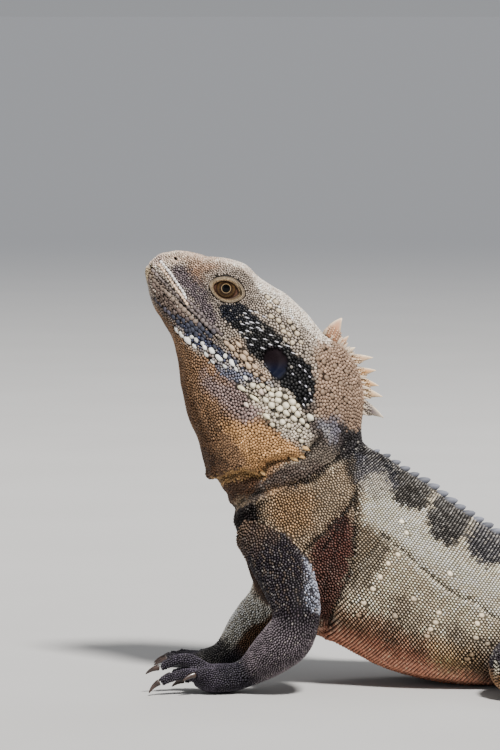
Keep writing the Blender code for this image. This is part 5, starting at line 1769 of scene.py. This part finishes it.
# %% Claws
claw_finish, claw_shader, claw_place = finish_named("brown horn", 0.34, 0.5, 0.15)
grain = claw_place.noise(700.0, 4.0)
into(claw_shader, "Base Color", grain.ramp((0.3, linear(24, 16, 13)), (0.7, linear(62, 44, 36))))
into(claw_shader, "Roughness", 0.25 + grain * 0.2)
into(claw_shader, "Normal", grain.bump(0.2, 0.00008))
claw_names = [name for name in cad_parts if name.startswith("claw")]
for limb in ("hand", "foot"):
    fresh()
    mine = [name for name in claw_names if name.startswith(f"claw_{limb}")]
    for name in mine:
        loose_copy(name)
    claws = joined_as(f"claws_of_the_{'hands' if limb == 'hand' else 'feet'}")
    smoothed(claws, 2)
    claws.data.materials.clear()
    claws.data.materials.append(claw_finish)
    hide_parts(*mine)
    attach(claws, "root")
    print(claws.name, len(claws.data.polygons), "faces")

# %% [markdown]
# ## Crest
# A fringe of flat spines stands on the nape, and a row of leaning lobes runs on along the
# back and thins out on the tail. One spine and one lobe are modelled from a ring that is
# extruded, narrowed and pushed back step by step. Their copies are set on the ridge.

# %% One spine and one lobe
def grown(name, steps, tip):
    """A ring of 12 points grown upwards: steps are height, length, width and push back."""
    fresh()
    bpy.ops.mesh.primitive_circle_add(vertices=12, radius=0.5, fill_type="NGON")
    piece = bpy.context.object
    piece.name = name
    bpy.ops.object.mode_set(mode="EDIT")
    last = (0, 1, 1, 0)
    for step in (*steps, tip):
        bpy.ops.mesh.extrude_region_move(
            TRANSFORM_OT_translate={"value": (step[3] - last[3], 0, step[0] - last[0])})
        bpy.ops.transform.resize(value=(step[1] / last[1], step[2] / last[2], 1),
                                 center_override=(step[3], 0, step[0]))
        last = step
    bpy.ops.mesh.select_all(action="SELECT")
    bpy.ops.mesh.normals_make_consistent(inside=False)
    bpy.ops.object.mode_set(mode="OBJECT")
    points = np.array([tuple(v.co) for v in piece.data.vertices])
    piece.data.calc_loop_triangles()
    faces = np.array([tuple(t.vertices) for t in piece.data.loop_triangles])
    bpy.ops.object.delete()
    return points, faces


SPINE = grown("spine", ((0.12, 0.98, 0.95, 0.0), (0.30, 0.86, 0.74, -0.03),
                        (0.50, 0.66, 0.56, -0.05), (0.70, 0.44, 0.40, -0.04),
                        (0.86, 0.24, 0.25, -0.01)), (1.0, 0.06, 0.08, 0.03))
LOBE = grown("lobe", ((0.25, 1.06, 1.0, 0.02), (0.55, 1.0, 0.86, 0.09),
                      (0.80, 0.74, 0.60, 0.20)), (1.0, 0.30, 0.22, 0.32))


def stand(form, roots, tips, along, length, width, sink, colours, dark, edge=None):
    """Copies of a form between roots and tips, as a batch for a coat."""
    points, faces = form
    # Painted shade: dark at the foot, above 1 at the tip as a painted highlight
    shade = dark + (1.18 - dark) * points[:, 2]
    rim = np.abs(points[:, 0]) / np.maximum(np.hypot(points[:, 0], points[:, 1]), 1e-6)
    rim = np.clip(rim ** 4 * 0.8 + np.clip(points[:, 2] - 0.55, 0, 1), 0, 1)[:, None]
    corners, tone = [], []
    for root, tip, way, size, wide, colour in zip(roots, tips, along, length, width, colours):
        rise = tip - root
        high = float(np.linalg.norm(rise))
        out = rise / high
        across = unit(np.cross(out, way))
        base = root - sink * out
        corners.append(base + (points[:, 2:] * (high + sink)) * out + points[:, :1] * size * way
                       + points[:, 1:2] * wide * across)
        tint = colour if edge is None else colour + rim * (edge - colour)
        tone.append(tint * shade[:, None])
    corners = np.array(corners)
    tone = np.array(tone)
    roots = np.array(roots)
    part = owner[F[on_skin(roots)[1]][:, 0]]
    uv = uv_place(roots, part)[:, None] + points[None, :, :2] * UV_PATCH
    return (corners.reshape(-1, 3), faces, len(roots), tone.reshape(-1, 3), uv.reshape(-1, 2))


# %% Spines of the nape
# Each spine: its root and its tip as x and z, its length along the neck and its colour
NAPE_SPINES = (
    ((11.4, 121.6), (14.4, 127.9), 7.0, (196, 142, 108)),
    ((14.9, 118.9), (16.9, 121.6), 3.0, (200, 154, 118)),
    ((17.0, 116.0), (19.2, 117.6), 3.0, (214, 190, 160)),
    ((18.6, 113.4), (25.4, 114.1), 4.4, (212, 172, 134)),
    ((20.9, 108.8), (26.5, 109.6), 4.0, (204, 152, 100)),
    ((22.4, 105.2), (27.5, 104.2), 4.0, (204, 154, 100)),
    ((22.9, 101.6), (28.8, 100.4), 4.0, (208, 172, 132)),
    ((22.6, 96.6), (29.2, 93.1), 5.2, (112, 100, 100)))
NAPE_WIDTH = 2.3
NAPE_EDGE = linear(240, 224, 196)
# Distance between rings of granules on a spine, and between granules of a ring
GRANULE_STEP = 0.85
nape_roots = np.array([(x, 0.0, z) for (x, z), _, _, _ in NAPE_SPINES])
nape_tips = np.array([(x, 0.0, z) for _, (x, z), _, _ in NAPE_SPINES])
nape_length = np.array([length for _, _, length, _ in NAPE_SPINES])
nape_way = unit(np.gradient(nape_roots, axis=0))
nape_colours = np.array([linear(*colour) for _, _, _, colour in NAPE_SPINES])
COAT.setdefault("nape_spines", []).append(
    stand(SPINE, nape_roots, nape_tips, nape_way, nape_length, [NAPE_WIDTH] * len(nape_roots),
          1.4, nape_colours, 0.55, NAPE_EDGE))
# Granules climb the lower half of each spine
for root, tip, way, length, tint in zip(nape_roots, nape_tips, nape_way, nape_length,
                                        nape_colours):
    rise = tip - root
    out = unit(rise)
    across = unit(np.cross(out, way))
    levels = np.arange(-0.02, 0.36, GRANULE_STEP / float(np.linalg.norm(rise)))
    for level, share in enumerate(levels):
        size = np.interp(share + 0.15, (0.12, 0.30, 0.50, 0.70), (0.98, 0.86, 0.66, 0.44))
        count = max(int(size * length * NAPE_WIDTH / GRANULE_STEP), 5)
        turn = (np.arange(count) + 0.5 * (level % 2)) / count * 2 * math.pi
        normals = unit(np.outer(np.cos(turn) / length, way)
                       + np.outer(np.sin(turn) / NAPE_WIDTH, across))
        places_on = (root + share * rise + np.outer(np.cos(turn) * size * length / 2, way)
                     + np.outer(np.sin(turn) * size * (NAPE_WIDTH / 2), across))
        lay("nape_spines", GRANULE, places_on, np.tile((1.0, 0.9, 0.20), (count, 1)),
            (0.6 * tint + 0.25 * NAPE_EDGE) * SCALE_SEED.uniform(0.8, 1.2, (count, 1)),
            np.tile(out, (count, 1)), normal=normals)
side_roots, side_tips, side_way, side_size, side_colour = [], [], [], [], []
for root, tip, way, length in zip(nape_roots, nape_tips, nape_way, nape_length):
    rise = unit(tip - root)
    for flank in (-1, 1):
        for share in (-0.42, 0.0, 0.42):
            foot = root + way * share * length + flank * (NAPE_WIDTH / 2) * SIDE - rise * 0.3
            high = SCALE_SEED.uniform(0.9, 1.9) * (1.25 if share else 0.8)
            side_roots.append(foot)
            side_tips.append(foot + rise * high + flank * 0.35 * SIDE)
            side_way.append(way)
            side_size.append(SCALE_SEED.uniform(1.1, 1.6))
            side_colour.append(linear(218, 196, 172) * SCALE_SEED.uniform(0.75, 1.1))
COAT["nape_spines"].append(stand(SPINE, side_roots, side_tips, side_way, side_size,
                                 [1.0] * len(side_roots), 1.0, side_colour, 0.55))

# %% Lobes of the back and tail
ridge_line = TRUNK_TOP[trunk_at > 96]
reach = np.concatenate(([0], np.cumsum(np.linalg.norm(np.diff(ridge_line, axis=0), axis=1))))
BACK_STEP, TAIL_STEP = 3.9, 3.4
back_at = np.arange(1.0, reach[-1] - 1, BACK_STEP)
back_roots = np.column_stack([np.interp(back_at, reach, ridge_line[:, k]) for k in range(3)])
back_way = unit(np.gradient(back_roots, axis=0))
back_out = np.cross(back_way, SIDE)
back_out = back_out * np.sign(back_out[:, 2:])
lobe_size = SCALE_SEED.uniform(0.9, 1.1, len(back_roots))
grow = np.interp(back_at, (0, 12, 30, 200), (0.55, 0.8, 1.0, 0.95)) * lobe_size
back_tips = back_roots + (2.05 * grow)[:, None] * unit(back_out + 0.30 * back_way)
grey = np.array([linear(112, 114, 124) * SCALE_SEED.uniform(0.6, 1.4) for _ in back_roots])
COAT.setdefault("back_lobes", []).append(
    stand(LOBE, back_roots, back_tips, back_way, 3.7 * grow, 2.9 * grow, 1.7, grey, 0.05))
tail_at = np.arange(2.0, TAIL_LENGTH * 0.62, TAIL_STEP)
tail_share = tail_at / TAIL_LENGTH
tail_roots = np.column_stack([np.interp(tail_at, np.arange(len(TAIL_LINE)), TAIL_LINE[:, k])
                              for k in range(3)])
tail_roots[:, 2] = 2 * tail_roots[:, 2] + TAIL_DROP - 0.3
tail_way = unit(np.gradient(tail_roots, axis=0))
small = np.interp(tail_share, (0, 0.3, 0.62), (1.0, 0.72, 0.28))
tail_tips = tail_roots + (1.9 * small)[:, None] * unit(UP + 0.25 * tail_way)
COAT["back_lobes"].append(
    stand(LOBE, tail_roots, tail_tips, tail_way, 2.9 * small, 1.5 * small, 0.8,
          np.array([linear(104, 100, 100) * SCALE_SEED.uniform(0.7, 1.2) for _ in tail_roots]),
          0.35))
print(len(nape_roots), "spines,", len(side_roots), "small ones,",
      len(back_roots), "lobes of the back,", len(tail_roots), "of the tail")

# %% [markdown]
# ## Making the coat
# The batches are joined last, each part of the body into a piece of its own.

# %% Make the pieces of the coat
amounts = {name: write_coat(name, batches) for name, batches in COAT.items()}
print("triangles of the coat:", amounts, "in all", sum(amounts.values()))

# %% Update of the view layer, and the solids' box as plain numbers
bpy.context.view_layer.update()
cad_box = [[float(c) for c in corner] for corner in cad_box]
